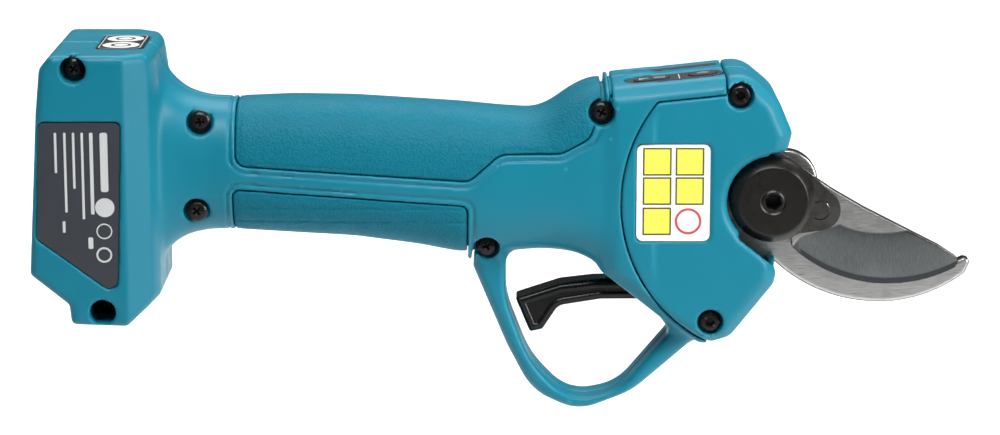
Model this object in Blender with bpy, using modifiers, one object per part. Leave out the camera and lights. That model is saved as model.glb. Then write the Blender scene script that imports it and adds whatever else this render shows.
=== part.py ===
"""Battery electric pruner: casing, grips, cutting head, and the geared drive inside.

Frame: +X forward to the blades, +Z up. X is 0 on the battery seat, Z is 0 at the blade pivot, and the
casing splits at Y = 0. The near side, which holds the pivot cap, is -Y. Lengths below are in metres.
"""

import math

import bmesh
import bpy
from mathutils import Matrix, Vector

MM = 0.001
GAP = 0.3 * MM  # between pieces that touch
FAR = 60 * MM  # reach of a cutter that runs right through the tool

# Overall
SEAT_TO_PIVOT = 200.6 * MM
DRIVE_TILT = math.radians(3.4)  # the motor end of the drive axis is the higher one
CRADLE_HALF_WIDTH = 27.5 * MM
HANDLE_HALF_WIDTH = 18.5 * MM
HEAD_HALF_WIDTH = 19 * MM
GUARD_HALF_WIDTH = 8 * MM
WALL = 2.4 * MM
GRIP_THICKNESS = 1.5 * MM
SEAM_CENTRE_X = 2.9 * MM  # ahead of the pivot
SEAM_RADIUS = 47.5 * MM

# Cutting head, as layers along Y
CAP_RADIUS = 12.6 * MM
CAP_FACE_Y = -17.5 * MM
LEVER_THICKNESS = 3.2 * MM
BLADE_THICKNESS = 3.7 * MM
HOOK_THICKNESS = 4.6 * MM
HOOK_NEAR_Y = -1.0 * MM
PIVOT_RADIUS = 5 * MM
BUSH_WALL = 0.9 * MM
HUB_RADIUS = 12 * MM
LUG_REACH = 15.3 * MM
LUG_ANGLE = math.radians(-16.7)
LUG_RADIUS = 6 * MM
LUG_PIN_RADIUS = 2.6 * MM
BLADE_OPENS = math.radians(52)

# Gears
PLANET_MODULE = 0.55 * MM
SUN_TEETH = 12
PLANET_TEETH = 15
RING_TEETH = SUN_TEETH + 2 * PLANET_TEETH
PLANETS = 3
BEVEL_MODULE = 1.2 * MM
PINION_TEETH = 12
SECTOR_TEETH = 60  # on the full circle
PRESSURE_ANGLE = math.radians(25)
PLANET_BACKLASH = 0.10 * MM
BEVEL_BACKLASH = 0.36 * MM
PLANET_FACE = 8.5 * MM
DRIVE_RADIUS = 13.4 * MM  # ring gear and motor
MOTOR_LENGTH = 46 * MM
ROTOR_SHAFT_RADIUS = 1.6 * MM
PLANET_PIN_RADIUS = 1.5 * MM
OUTPUT_RADIUS = 4 * MM
BEARING_RADIUS = 9.4 * MM
BEARING_WIDTH = 6 * MM

# Fasteners
SCREW_RADIUS = 1.35 * MM
SCREW_HEAD_RADIUS = 3.25 * MM
SCREW_HEAD_HEIGHT = 2.4 * MM
BOSS_WALL = 1.8 * MM
RECESS_GAP = 0.6 * MM  # round a screw's head
COLLAR_WALL = 1.1 * MM

# Trigger
TRIGGER_HALF_WIDTH = 5 * MM
TRIGGER_PIVOT = (SEAT_TO_PIVOT - 31.6 * MM, -26.5 * MM)
TRIGGER_PIN_RADIUS = 1.5 * MM
TRIGGER_PULL = math.radians(13)

LEVER_FAR_Y = HOOK_NEAR_Y - GAP - BLADE_THICKNESS - GAP
LEVER_NEAR_Y = LEVER_FAR_Y - LEVER_THICKNESS
BLADE_FAR_Y = HOOK_NEAR_Y - GAP
BLADE_NEAR_Y = BLADE_FAR_Y - BLADE_THICKNESS
HOOK_FAR_Y = HOOK_NEAR_Y + HOOK_THICKNESS
BUSH_RADIUS = PIVOT_RADIUS + GAP + BUSH_WALL
NOTCH_RADIUS = CAP_RADIUS + 0.8 * MM

for old in list(bpy.data.objects):
    bpy.data.objects.remove(old, do_unlink=True)
PARTS = bpy.data.collections.new("electric_pruner")
TOOLS = bpy.data.collections.new("cutters")
for collection in (PARTS, TOOLS):
    bpy.context.scene.collection.children.link(collection)


# ---------------------------------------------------------------- materials


def material(name, colour, roughness, metallic=0.0):
    made = bpy.data.materials.new(name)
    made.use_nodes = True
    shader = made.node_tree.nodes["Principled BSDF"]
    shader.inputs["Base Color"].default_value = (*colour, 1)
    shader.inputs["Roughness"].default_value = roughness
    shader.inputs["Metallic"].default_value = metallic
    return made


CASING = ("casing", (0.0, 0.16, 0.22), 0.45)
GRIP = ("grip", (0.0, 0.13, 0.18), 0.75)
BLACK_PLASTIC = ("black_plastic", (0.012, 0.012, 0.013), 0.35)
BLACK_STEEL = ("black_steel", (0.02, 0.019, 0.018), 0.35, 0.8)
DARK_STEEL = ("dark_steel", (0.09, 0.085, 0.08), 0.35, 1.0)
BLADE_STEEL = ("blade_steel", (0.45, 0.45, 0.44), 0.3, 1.0)
PLATE_GREY = ("plate_grey", (0.045, 0.048, 0.055), 0.5)
WHITE_LABEL = ("white_label", (0.8, 0.8, 0.8), 0.4)
GEAR_STEEL = ("gear_steel", (0.35, 0.34, 0.33), 0.35, 1.0)
BRASS = ("brass", (0.7, 0.5, 0.2), 0.35, 1.0)
ALUMINIUM = ("aluminium", (0.6, 0.6, 0.62), 0.4, 1.0)
BOARD = ("board", (0.02, 0.12, 0.05), 0.5)
MAGNET = ("magnet", (0.25, 0.25, 0.26), 0.4, 1.0)
LEAD = ("lead", (0.25, 0.02, 0.02), 0.5)


# ---------------------------------------------------------------- building blocks


def tool(name, mesh):
    """A helper shape: it cuts or joins, and isn't part of the model."""
    made = bpy.data.objects.new(name, mesh)
    made.hide_render = True
    made.display_type = "WIRE"
    TOOLS.objects.link(made)
    return made


def part(obj, name, look):
    """Makes a helper shape one of the model's pieces."""
    TOOLS.objects.unlink(obj)
    PARTS.objects.link(obj)
    obj.name = name
    obj.hide_render = False
    obj.display_type = "TEXTURED"
    obj.data.materials.clear()
    obj.data.materials.append(material(name + "_" + look[0], *look[1:]))
    obj.data.shade_smooth()
    obj.data.set_sharp_from_angle(angle=math.radians(30))
    return obj


def mesh_of(name, shape):
    mesh = bpy.data.meshes.new(name)
    shape.to_mesh(mesh)
    shape.free()
    return mesh


def box(name, low, high):
    shape = bmesh.new()
    bmesh.ops.create_cube(shape, size=1)
    low, high = Vector(low), Vector(high)
    for vertex in shape.verts:
        vertex.co = [low[i] + (vertex.co[i] + 0.5) * (high[i] - low[i]) for i in range(3)]
    return tool(name, mesh_of(name, shape))


def rod(name, radius, start, end, end_radius=None, sides=32):
    """A cylinder or cone between two points."""
    start, end = Vector(start), Vector(end)
    shape = bmesh.new()
    bmesh.ops.create_cone(
        shape,
        cap_ends=True,
        segments=sides,
        radius1=radius,
        radius2=radius if end_radius is None else end_radius,
        depth=(end - start).length,
    )
    turn = Vector((0, 0, 1)).rotation_difference(end - start).to_matrix().to_4x4()
    bmesh.ops.transform(shape, matrix=Matrix.Translation((start + end) / 2) @ turn, verts=shape.verts)
    return tool(name, mesh_of(name, shape))


def rod_y(name, radius, centre, low_y, high_y, sides=32):
    return rod(name, radius, (centre[0], low_y, centre[1]), (centre[0], high_y, centre[1]), sides=sides)


def turned(name, profile, sides=32):
    """A profile of (radius, height) pairs turned about local Z, listed down its outer side first."""
    mesh = bpy.data.meshes.new(name)
    points = [(radius, 0, height) for radius, height in profile]
    count = len(points)
    mesh.from_pydata(points, [(i, (i + 1) % count) for i in range(count)], [])
    made = tool(name, mesh)
    screw = made.modifiers.new("turn", "SCREW")
    screw.axis = "Z"
    screw.steps = screw.render_steps = sides
    screw.use_merge_vertices = True
    screw.merge_threshold = 1e-6
    return made


def arc(centre, radius, start, end, steps):
    """Points from angle start to end, in radians, both included."""
    angles = [start + (end - start) * i / steps for i in range(steps + 1)]
    return [(centre[0] + radius * math.cos(a), centre[1] + radius * math.sin(a)) for a in angles]


def arc_through(first, middle, last, steps):
    """Points on the circle through three points, from first to last."""
    a, b, c = Vector(first), Vector(middle), Vector(last)
    ab, ac = b - a, c - a
    twice = 2 * (ab.x * ac.y - ab.y * ac.x)
    across = ac.y * ab.length_squared - ab.y * ac.length_squared
    up = ab.x * ac.length_squared - ac.x * ab.length_squared
    offset = Vector((across, up))
    centre = a + offset / twice
    start = math.atan2(a.y - centre.y, a.x - centre.x)
    end = math.atan2(c.y - centre.y, c.x - centre.x)
    turn = (end - start) % math.tau
    if twice < 0:
        turn -= math.tau
    return arc(centre, (a - centre).length, start, start + turn, steps)


def rounded(corners, steps=4, grow=0.0):
    """An outline from (x, z, radius) corners in millimetres, each rounded off by an arc."""
    points = [(x * MM, z * MM) for x, z, _ in corners]
    hollow = [turn_at(points, i) < 0 for i in range(len(points))]
    if grow:
        points = grown(points, grow)
    outline = []
    for i, (_, _, radius) in enumerate(corners):
        here = Vector(points[i])
        radius = max(radius * MM + (-grow if hollow[i] else grow), 0) if radius else 0
        if not radius:
            outline.append(tuple(here))
            continue
        before = (Vector(points[i - 1]) - here).normalized()
        after = (Vector(points[(i + 1) % len(points)]) - here).normalized()
        half = before.angle(after) / 2
        reach = radius / math.tan(half)
        centre = here + (before + after).normalized() * (radius / math.sin(half))
        first, last = here + before * reach - centre, here + after * reach - centre
        start = math.atan2(first.y, first.x)
        turn = (math.atan2(last.y, last.x) - start + math.pi) % math.tau - math.pi
        outline += arc(centre, radius, start, start + turn, steps)
    return outline


def winding(outline):
    """1 where an outline runs anticlockwise, and -1 where it runs clockwise."""
    pairs = zip(outline, outline[1:] + outline[:1])
    area = sum(a[0] * b[1] - b[0] * a[1] for a, b in pairs)
    return 1 if area > 0 else -1


def turn_at(outline, i):
    """Positive at a corner that sticks out, and negative at a hollow one."""
    here = Vector(outline[i])
    before, after = here - Vector(outline[i - 1]), Vector(outline[(i + 1) % len(outline)]) - here
    return (before.x * after.y - before.y * after.x) * winding(outline)


def grown(outline, distance):
    """The outline moved outwards by a distance, or inwards where it is negative."""
    side = winding(outline)
    moved_out = []
    for i, point in enumerate(outline):
        before = (Vector(point) - Vector(outline[i - 1])).normalized()
        after = (Vector(outline[(i + 1) % len(outline)]) - Vector(point)).normalized()
        normal = (Vector((before.y, -before.x)) + Vector((after.y, -after.x))).normalized()
        stretch = max(normal.dot(Vector((after.y, -after.x))), 0.5)
        moved_out.append(tuple(Vector(point) + normal * (side * distance / stretch)))
    return moved_out


def moved(outline, x=0.0, z=0.0):
    return [(px + x, pz + z) for px, pz in outline]


def flat(name, loops, thickness):
    """Outlines filled in local XY and thickened about Z, as a mesh: further loops are holes."""
    curve = bpy.data.curves.new(name, "CURVE")
    curve.dimensions = "2D"
    curve.fill_mode = "BOTH"
    curve.extrude = thickness / 2
    for loop in loops:
        spline = curve.splines.new("POLY")
        spline.points.add(len(loop) - 1)
        spline.use_cyclic_u = True
        for point, (x, y) in zip(spline.points, loop):
            point.co = (x, y, 0, 1)
    drawn = tool(name + "_curve", curve)
    graph = bpy.context.evaluated_depsgraph_get()
    mesh = bpy.data.meshes.new_from_object(drawn.evaluated_get(graph))
    bpy.data.objects.remove(drawn, do_unlink=True)
    shape = bmesh.new()
    shape.from_mesh(mesh)
    bmesh.ops.remove_doubles(shape, verts=shape.verts, dist=1e-6)
    bmesh.ops.dissolve_limit(
        shape, angle_limit=math.radians(0.5), verts=shape.verts, edges=shape.edges, delimit={"NORMAL"}
    )
    bmesh.ops.recalc_face_normals(shape, faces=shape.faces)
    shape.to_mesh(mesh)
    shape.free()
    mesh.name = name
    return mesh


def slab(name, loops, low_y, high_y):
    """Outlines in the XZ plane given thickness along Y."""
    mesh = flat(name, loops, high_y - low_y)
    mesh.transform(
        Matrix.Translation((0, (low_y + high_y) / 2, 0)) @ Matrix.Rotation(math.pi / 2, 4, "X")
    )
    return tool(name, mesh)


def plan(name, loop, low_z, high_z):
    """An outline in the XY plane given height along Z."""
    mesh = flat(name, [loop], high_z - low_z)
    mesh.transform(Matrix.Translation((0, 0, (low_z + high_z) / 2)))
    return tool(name, mesh)


def rounded_edges(obj, width, segments=2):
    bevel = obj.modifiers.new("edges", "BEVEL")
    bevel.width = width
    bevel.segments = segments
    bevel.limit_method = "ANGLE"
    bevel.angle_limit = math.radians(50)
    obj.modifiers.new("flat_faces", "TRIANGULATE")
    return obj


def origin_at(obj, point):
    """Puts the origin of a piece that hasn't been moved yet on a point of its joint's axis."""
    obj.data.transform(Matrix.Translation(-Vector(point)))
    obj.location = point
    return obj


def combine(obj, operation, *others):
    for other in others:
        step = obj.modifiers.new(other.name, "BOOLEAN")
        step.operation = operation
        step.object = other
    return obj


def cut(obj, *others):
    return combine(obj, "DIFFERENCE", *others)


def join(obj, *others):
    return combine(obj, "UNION", *others)


def keep(obj, *others):
    return combine(obj, "INTERSECT", *others)


# ---------------------------------------------------------------- casing shape

# Cross-sections of the neck, handle and head root: x, top, bottom, half width as a share of the
# handle's, and squareness. The first list is measured from the battery seat, the second from the pivot.
REAR_SECTIONS = (
    (15, 41.5, -22.0, 1.05, 5.0),
    (19.5, 39.5, -20.5, 1.02, 4.0),
    (23, 34.5, -15.6, 0.95, 3.2),
    (28, 30.4, -12.3, 0.91, 2.8),
    (35, 28.4, -10.9, 0.89, 2.6),
    (43, 28.2, -10.9, 0.93, 2.5),
    (60, 28.9, -11.9, 0.98, 2.5),
)
FRONT_SECTIONS = (
    (-123, 28.6, -12.9, 0.99, 2.5),
    (-104, 27.4, -15.4, 1.0, 2.5),
    (-92, 26.6, -17.7, 1.0, 2.6),
    (-80, 25.4, -17.8, 1.0, 2.6),
    (-70, 24.7, -16.4, 1.0, 2.7),
    (-65, 26.6, -16.4, 1.0, 2.8),
    (-60, 30.4, -16.9, 1.0, 3.1),
    (-54, 33.3, -18.6, 1.01, 3.6),
    (-47, 33.6, -23.6, 1.02, 4.5),
    (-37, 34.4, -29.4, 1.02, 5.0),
)
RING_POINTS = 20

CRADLE_CORNERS = (
    (-8.5, 44.6, 2.5),
    (19.8, 44.6, 3.5),
    (21.4, 36.0, 0),
    (21.4, -27.4, 2),
    (12.0, -35.3, 1.5),
    (-4.2, -34.7, 1.5),
    (-4.8, -28.8, 1.5),
    (-15.9, -19.8, 1.5),
    (-13.0, 28.0, 0),
    (-11.7, 40.6, 3),
)
CRADLE_FRONT_X = 21.4 * MM
CRADLE_FLANK_X = 12.5 * MM  # where the flanks start to close in
CRADLE_SHOULDER_X = 19.2 * MM
CRADLE_SHOULDER = 0.79  # half widths there and at the front face, as shares of the cradle's
CRADLE_PLAN_FRONT = 0.6
SEAT_WALL_X = 3 * MM
BAY_HALF_WIDTH = CRADLE_HALF_WIDTH - 3.2 * MM

# Measured from the pivot
HEAD_CORNERS = (
    (-50, 33.2, 0),
    (-8, 37.7, 9),
    (1.2, 30.0, 10),
    (5.4, 20.0, 0),
    (4.2, 15.2, 0),
    (1.7, -19.7, 0),
    (0.7, -25.0, 0),
    (-12.0, -41.1, 6),
    (-20.4, -43.5, 4.5),
    (-27, -39.6, 0),
    (-31.6, -36.2, 0),
    (-50, -21.4, 0),
)
GUARD_OUTER = (
    (-95, -6.0, 0),
    (-91.4, -13.5, 0),
    (-86.8, -24.5, 25),
    (-77.8, -46.0, 30),
    (-70.4, -60.2, 18),
    (-56.5, -66.5, 14),
    (-40.5, -60.3, 26),
    (-19, -41.5, 0),
    (-24, -6.0, 0),
)
GUARD_INNER = (
    (-78.1, -14.0, 0),
    (-78.1, -32.0, 24),
    (-70.8, -51.0, 30),
    (-59, -63.2, 14),
    (-44.5, -59.8, 16),
    (-29.2, -41.6, 3),
    (-32.4, -35.4, 0),
    (-46, -24.0, 0),
    (-52, -14.0, 0),
)


PIVOT_POINT = (SEAT_TO_PIVOT, 0, 0)


def pivot_side(x, z):
    """A point given in millimetres from the pivot."""
    return (SEAT_TO_PIVOT + x * MM, z * MM)


def from_pivot(corners, grow=0.0):
    return moved(rounded(corners, grow=grow), x=SEAT_TO_PIVOT)


def sections():
    rear = [(x * MM, *rest) for x, *rest in REAR_SECTIONS]
    front = [(SEAT_TO_PIVOT + x * MM, *rest) for x, *rest in FRONT_SECTIONS]
    return rear + front


def ring(x, top, bottom, width_share, squareness, grow):
    """One superellipse cross-section."""
    half_height = (top - bottom) / 2 * MM + grow
    half_width = HANDLE_HALF_WIDTH * width_share + grow
    points = []
    for i in range(RING_POINTS):
        angle = math.tau * (i + 0.5) / RING_POINTS
        c, s = math.cos(angle), math.sin(angle)
        y = half_width * math.copysign(abs(c) ** (2 / squareness), c)
        z = (top + bottom) / 2 * MM + half_height * math.copysign(abs(s) ** (2 / squareness), s)
        points.append((x, y, z))
    return points


def handle_body(name, grow, end_grow=0.0):
    """The neck and handle lofted through their cross-sections, grown or shrunk all round."""
    rows = sections()
    shape = bmesh.new()
    rings = []
    for index, (x, *rest) in enumerate(rows):
        x += end_grow * {0: -1, len(rows) - 1: 1}.get(index, 0)
        rings.append([shape.verts.new(point) for point in ring(x, *rest, grow)])
    for back, front in zip(rings, rings[1:]):
        for i in range(RING_POINTS):
            after = (i + 1) % RING_POINTS
            shape.faces.new((back[i], back[after], front[after], front[i]))
    shape.faces.new(rings[0])
    shape.faces.new(rings[-1])
    bmesh.ops.triangulate(shape, faces=shape.faces[:])
    bmesh.ops.recalc_face_normals(shape, faces=shape.faces)
    return tool(name, mesh_of(name, shape))


def cradle_block(name, grow=0.0, edge=1.4 * MM):
    """The battery cradle: its side outline, narrowed to its plan outline."""
    side = slab(name + "_side", [rounded(CRADLE_CORNERS, grow=grow)], -FAR, FAR)
    wide = CRADLE_HALF_WIDTH
    outline = [(-30 * MM, -wide), (CRADLE_FLANK_X, -wide), (CRADLE_SHOULDER_X, -wide * CRADLE_SHOULDER)]
    outline.append((CRADLE_FRONT_X + 1 * MM, -wide * CRADLE_PLAN_FRONT))
    outline += [(x, -y) for x, y in reversed(outline)]
    block = plan(name, grown(outline, grow) if grow else outline, -FAR, FAR)
    keep(block, side)
    return rounded_edges(block, edge) if edge else block


def head_block(name, grow=0.0, edge=3.5 * MM):
    half = HEAD_HALF_WIDTH + grow
    block = slab(name, [from_pivot(HEAD_CORNERS, grow)], -half, half)
    return rounded_edges(block, edge) if edge else block


def guard_ring():
    """The finger guard as a closed loop under the handle."""
    half = GUARD_HALF_WIDTH
    loop = rounded_edges(slab("guard", [from_pivot(GUARD_OUTER)], -half, half), 2 * MM)
    return cut(loop, slab("guard_hole", [from_pivot(GUARD_INNER)], -FAR, FAR))


def casing_blank():
    """The whole outer form as one solid."""
    blank = handle_body("casing_blank", 0)
    return join(blank, cradle_block("cradle"), head_block("head"), guard_ring())


# ---------------------------------------------------------------- the drive axis


def drive_empty():
    """Local +Z runs forward along the drive axis to the pivot, and local +X points to -Y."""
    empty = bpy.data.objects.new("drive_axis", None)
    PARTS.objects.link(empty)
    along = Vector((math.cos(DRIVE_TILT), 0, -math.sin(DRIVE_TILT)))
    across = Vector((0, -1, 0))
    turn = Matrix((across, along.cross(across), along)).transposed().to_4x4()
    empty.matrix_world = Matrix.Translation((SEAT_TO_PIVOT, 0, 0)) @ turn
    return empty


DRIVE = drive_empty()


def on_drive(obj, distance=0.0, angle=0.0, offset=0.0):
    """Puts a piece on the drive axis, a distance behind the pivot, turned and set off to one side."""
    obj.parent = DRIVE
    obj.location = (offset * math.cos(angle), offset * math.sin(angle), -distance)
    return obj


def drive_point(distance):
    """(x, z) of the drive axis a distance behind the pivot."""
    return (SEAT_TO_PIVOT - distance * math.cos(DRIVE_TILT), distance * math.sin(DRIVE_TILT))


# Places along the drive axis, as distances behind the pivot
PINION_FRONT = 26.6 * MM
BEVEL_OUTER = SECTOR_TEETH * BEVEL_MODULE / 2
HOLDER_FRONT = BEVEL_OUTER + 3.2 * MM
BEARING_FRONT = HOLDER_FRONT + 0.6 * MM
CARRIER_THICKNESS = 3 * MM
HOLDER_REAR = BEARING_FRONT + BEARING_WIDTH + 3.2 * MM
CARRIER_2_FRONT = HOLDER_REAR + 0.6 * MM
PLANETS_2_FRONT = CARRIER_2_FRONT + CARRIER_THICKNESS + 0.5 * MM
CARRIER_1_FRONT = PLANETS_2_FRONT + PLANET_FACE + 1.2 * MM
PLANETS_1_FRONT = CARRIER_1_FRONT + CARRIER_THICKNESS + 0.5 * MM
SUN_1_REAR = PLANETS_1_FRONT + PLANET_FACE + 1.5 * MM
RING_REAR = PLANETS_1_FRONT + PLANET_FACE + 1.2 * MM
MOTOR_FRONT = SUN_1_REAR + 0.8 * MM
MOTOR_REAR = MOTOR_FRONT + MOTOR_LENGTH
PLANET_ORBIT = (SUN_TEETH + PLANET_TEETH) * PLANET_MODULE / 2


# ---------------------------------------------------------------- gears


def involute(angle):
    return math.tan(angle) - angle


def tooth_half_angle(radius, pitch, half_angle, pressure=PRESSURE_ANGLE):
    """Half the angle of a tooth at a radius, from half its angle at the pitch radius."""
    base = pitch * math.cos(pressure)
    here = math.acos(min(base / radius, 1.0))
    return half_angle + involute(pressure) - involute(here)


def gear_outline(teeth, module, radii, thinner, phase=0.0):
    """Tooth outline of a spur gear: radii run from the root to the tip, and a tooth stands at phase."""
    pitch = teeth * module / 2
    half = math.pi / (2 * teeth) - thinner / (2 * pitch)
    flank = [(radius, tooth_half_angle(radius, pitch, half)) for radius in radii]
    outline = []
    for tooth in range(teeth):
        centre = phase + math.tau * tooth / teeth
        angles = [(r, centre - a) for r, a in flank] + [(r, centre + a) for r, a in reversed(flank)]
        outline += [(r * math.cos(a), r * math.sin(a)) for r, a in angles]
    return outline


def spur_gear(name, teeth, face, bore, phase=0.0):
    """An external gear from local z = -face up to 0."""
    pitch = teeth * PLANET_MODULE / 2
    radii = (pitch - 1.2 * PLANET_MODULE, pitch + 0.95 * PLANET_MODULE)
    loops = [gear_outline(teeth, PLANET_MODULE, radii, PLANET_BACKLASH / 2, phase)]
    if bore:
        loops.append(arc((0, 0), bore, 0, math.tau * 15 / 16, 15))
    mesh = flat(name, loops, face)
    mesh.transform(Matrix.Translation((0, 0, -face / 2)))
    return tool(name, mesh)


def planet_phase(angle):
    """Turn of a planet at this angle round the sun that meshes with a sun tooth at angle 0."""
    return angle + math.pi + (SUN_TEETH * angle + math.pi) / PLANET_TEETH


def ring_phase():
    return (PLANET_TEETH * planet_phase(0) + math.pi) / RING_TEETH


def ring_gear():
    pitch = RING_TEETH * PLANET_MODULE / 2
    radii = (pitch - 0.9 * PLANET_MODULE, pitch + 1.2 * PLANET_MODULE)
    space = ring_phase() + math.pi / RING_TEETH
    teeth = gear_outline(RING_TEETH, PLANET_MODULE, radii, -PLANET_BACKLASH / 2, space)
    rim = arc((0, 0), DRIVE_RADIUS, 0, math.tau * 47 / 48, 47)
    length = RING_REAR - HOLDER_REAR - GAP
    mesh = flat("ring_gear", [rim, teeth], length)
    mesh.transform(Matrix.Translation((0, 0, -length / 2)))
    return on_drive(part(tool("ring_gear", mesh), "ring_gear", GEAR_STEEL), HOLDER_REAR + GAP)


def planet_angles():
    return [math.tau * k / PLANETS for k in range(PLANETS)]


def carrier_pins(obj, length):
    """Adds the planets' pins, running back from the carrier."""
    for k, angle in enumerate(planet_angles()):
        x, y = PLANET_ORBIT * math.cos(angle), PLANET_ORBIT * math.sin(angle)
        pin = rod(
            f"{obj.name}_pin_{k}",
            PLANET_PIN_RADIUS,
            (x, y, -CARRIER_THICKNESS - length),
            (x, y, -CARRIER_THICKNESS / 2),
            sides=12,
        )
        join(obj, on_drive_at(pin, obj))
    return obj


def on_drive_at(obj, other):
    """Puts a helper in the same place on the drive axis as another piece."""
    obj.parent = DRIVE
    obj.location = other.location
    return obj


def planet_stage(stage, front):
    for k, angle in enumerate(planet_angles()):
        name = f"planet_{stage}_{'abc'[k]}"
        gear = spur_gear(name, PLANET_TEETH, PLANET_FACE, PLANET_PIN_RADIUS + GAP, planet_phase(angle))
        on_drive(part(gear, name, GEAR_STEEL), front, angle, PLANET_ORBIT)


def carrier_1():
    """First carrier, with the second stage's sun gear in one piece."""
    made = on_drive(rod("carrier_1", DISC_RADIUS, (0, 0, -CARRIER_THICKNESS), (0, 0, 0)), CARRIER_1_FRONT)
    sun = spur_gear("sun_2", SUN_TEETH, PLANET_FACE + 1.5 * MM, 0)
    sun.parent = DRIVE
    sun.location = (0, 0, -(PLANETS_2_FRONT + 0.2 * MM))
    join(carrier_pins(made, PLANET_FACE + 0.5 * MM), sun)
    part(made, "carrier_1", GEAR_STEEL)


def output_shaft():
    """Second carrier and the shaft that it turns, which steps down through the bevel pinion."""
    made = on_drive(rod("carrier_2", DISC_RADIUS, (0, 0, -CARRIER_THICKNESS), (0, 0, 0)), CARRIER_2_FRONT)
    neck = HOLDER_FRONT - 0.8 * MM
    shaft = rod("shaft", OUTPUT_RADIUS, (0, 0, -CARRIER_2_FRONT - 1.5 * MM), (0, 0, -neck), sides=24)
    nose = rod("shaft_nose", PINION_BORE - GAP, (0, 0, -neck - 1 * MM), (0, 0, -PINION_FRONT), sides=24)
    for piece in (shaft, nose):
        piece.parent = DRIVE
    join(carrier_pins(made, PLANET_FACE + 0.5 * MM), shaft, nose)
    part(made, "output_shaft", GEAR_STEEL)


DISC_RADIUS = (RING_TEETH / 2 - 0.9) * PLANET_MODULE - 0.5 * MM
PINION_BORE = 3.0 * MM


def bevel_point(half_cone, outer_distance, developed, angle):
    """A point on the back cone of a bevel gear whose cone apex is the origin and axis is +Z."""
    radius = developed * math.cos(half_cone)
    height = outer_distance / math.cos(half_cone) - developed * math.sin(half_cone)
    return (radius * math.cos(angle), radius * math.sin(angle), height)


def bevel_flank(teeth, half_cone, addendum, dedendum, steps):
    """(developed radius, half angle round the axis) down one flank of a bevel tooth, root first."""
    pitch = teeth * BEVEL_MODULE / 2
    developed = pitch / math.cos(half_cone)
    half = (math.pi * BEVEL_MODULE / 4 - BEVEL_BACKLASH / 4) / developed
    flank = []
    for i in range(steps + 1):
        radius = developed - dedendum + (addendum + dedendum) * i / steps
        turn = tooth_half_angle(radius, developed, half)
        flank.append((radius, turn / math.cos(half_cone)))
    return flank


BEVEL_PITCH_CONE = math.atan2(PINION_TEETH, SECTOR_TEETH)
BEVEL_DISTANCE = math.hypot(PINION_TEETH, SECTOR_TEETH) * BEVEL_MODULE / 2


def loft_rows(name, rows, closed_rows, closed_way):
    """A skin over rows of points. Rows closed on themselves make a tube, capped unless it joins up."""
    shape = bmesh.new()
    grid = [[shape.verts.new(point) for point in row] for row in rows]
    pairs = list(zip(grid, grid[1:] + grid[:1])) if closed_way else list(zip(grid, grid[1:]))
    for one, other in pairs:
        count = len(one)
        for i in range(count if closed_rows else count - 1):
            after = (i + 1) % count
            shape.faces.new((one[i], one[after], other[after], other[i]))
    if not closed_way:
        shape.faces.new(grid[0])
        shape.faces.new(grid[-1])
    bmesh.ops.triangulate(shape, faces=shape.faces[:])
    bmesh.ops.recalc_face_normals(shape, faces=shape.faces)
    return tool(name, mesh_of(name, shape))


def bevel_pinion():
    """Pinion with a tooth towards local +X. Its cone's apex is the pivot point."""
    addendum, dedendum = BEVEL_MODULE, 1.2 * BEVEL_MODULE
    flank = bevel_flank(PINION_TEETH, BEVEL_PITCH_CONE, addendum, dedendum, 3)
    outer = []
    for tooth in range(PINION_TEETH):
        centre = math.tau * tooth / PINION_TEETH
        path = [(r, centre - a) for r, a in flank] + [(r, centre + a) for r, a in reversed(flank)]
        outer += [bevel_point(BEVEL_PITCH_CONE, BEVEL_DISTANCE, r, a) for r, a in path]
    shares = (PINION_FRONT / BEVEL_OUTER - 0.03, 1.03)  # longer than the gear, whose ends are cut flat
    toothed = [[(x * share, y * share, -z * share) for x, y, z in outer] for share in shares]
    gear = loft_rows("bevel_pinion", toothed, True, False)
    gear.parent = DRIVE
    cutters = [rod("pinion_bore", PINION_BORE, (0, 0, -FAR), (0, 0, 0), sides=24),
               rod("pinion_front_end", DRIVE_RADIUS, (0, 0, -PINION_FRONT), (0, 0, 0), sides=24),
               rod("pinion_rear_end", DRIVE_RADIUS, (0, 0, -FAR), (0, 0, -BEVEL_OUTER), sides=24)]
    for cutter in cutters:
        cutter.parent = DRIVE
    cut(gear, *cutters)
    part(gear, "bevel_pinion", GEAR_STEEL)


CONTACT_ANGLE = math.pi - DRIVE_TILT  # of the pinion, seen along +Y with +X to the right
SECTOR_PITCH = math.tau / SECTOR_TEETH
SECTOR_RIM_Y = -13 * MM
SECTOR_INNER = 25 * MM
SECTOR_OUTER = BEVEL_OUTER + 1.0 * MM
SWEPT_TEETH = math.ceil(BLADE_OPENS / SECTOR_PITCH) + 1
SECTOR_START = CONTACT_ANGLE - (SWEPT_TEETH - 1) * SECTOR_PITCH
SECTOR_END = CONTACT_ANGLE + SECTOR_PITCH


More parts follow.
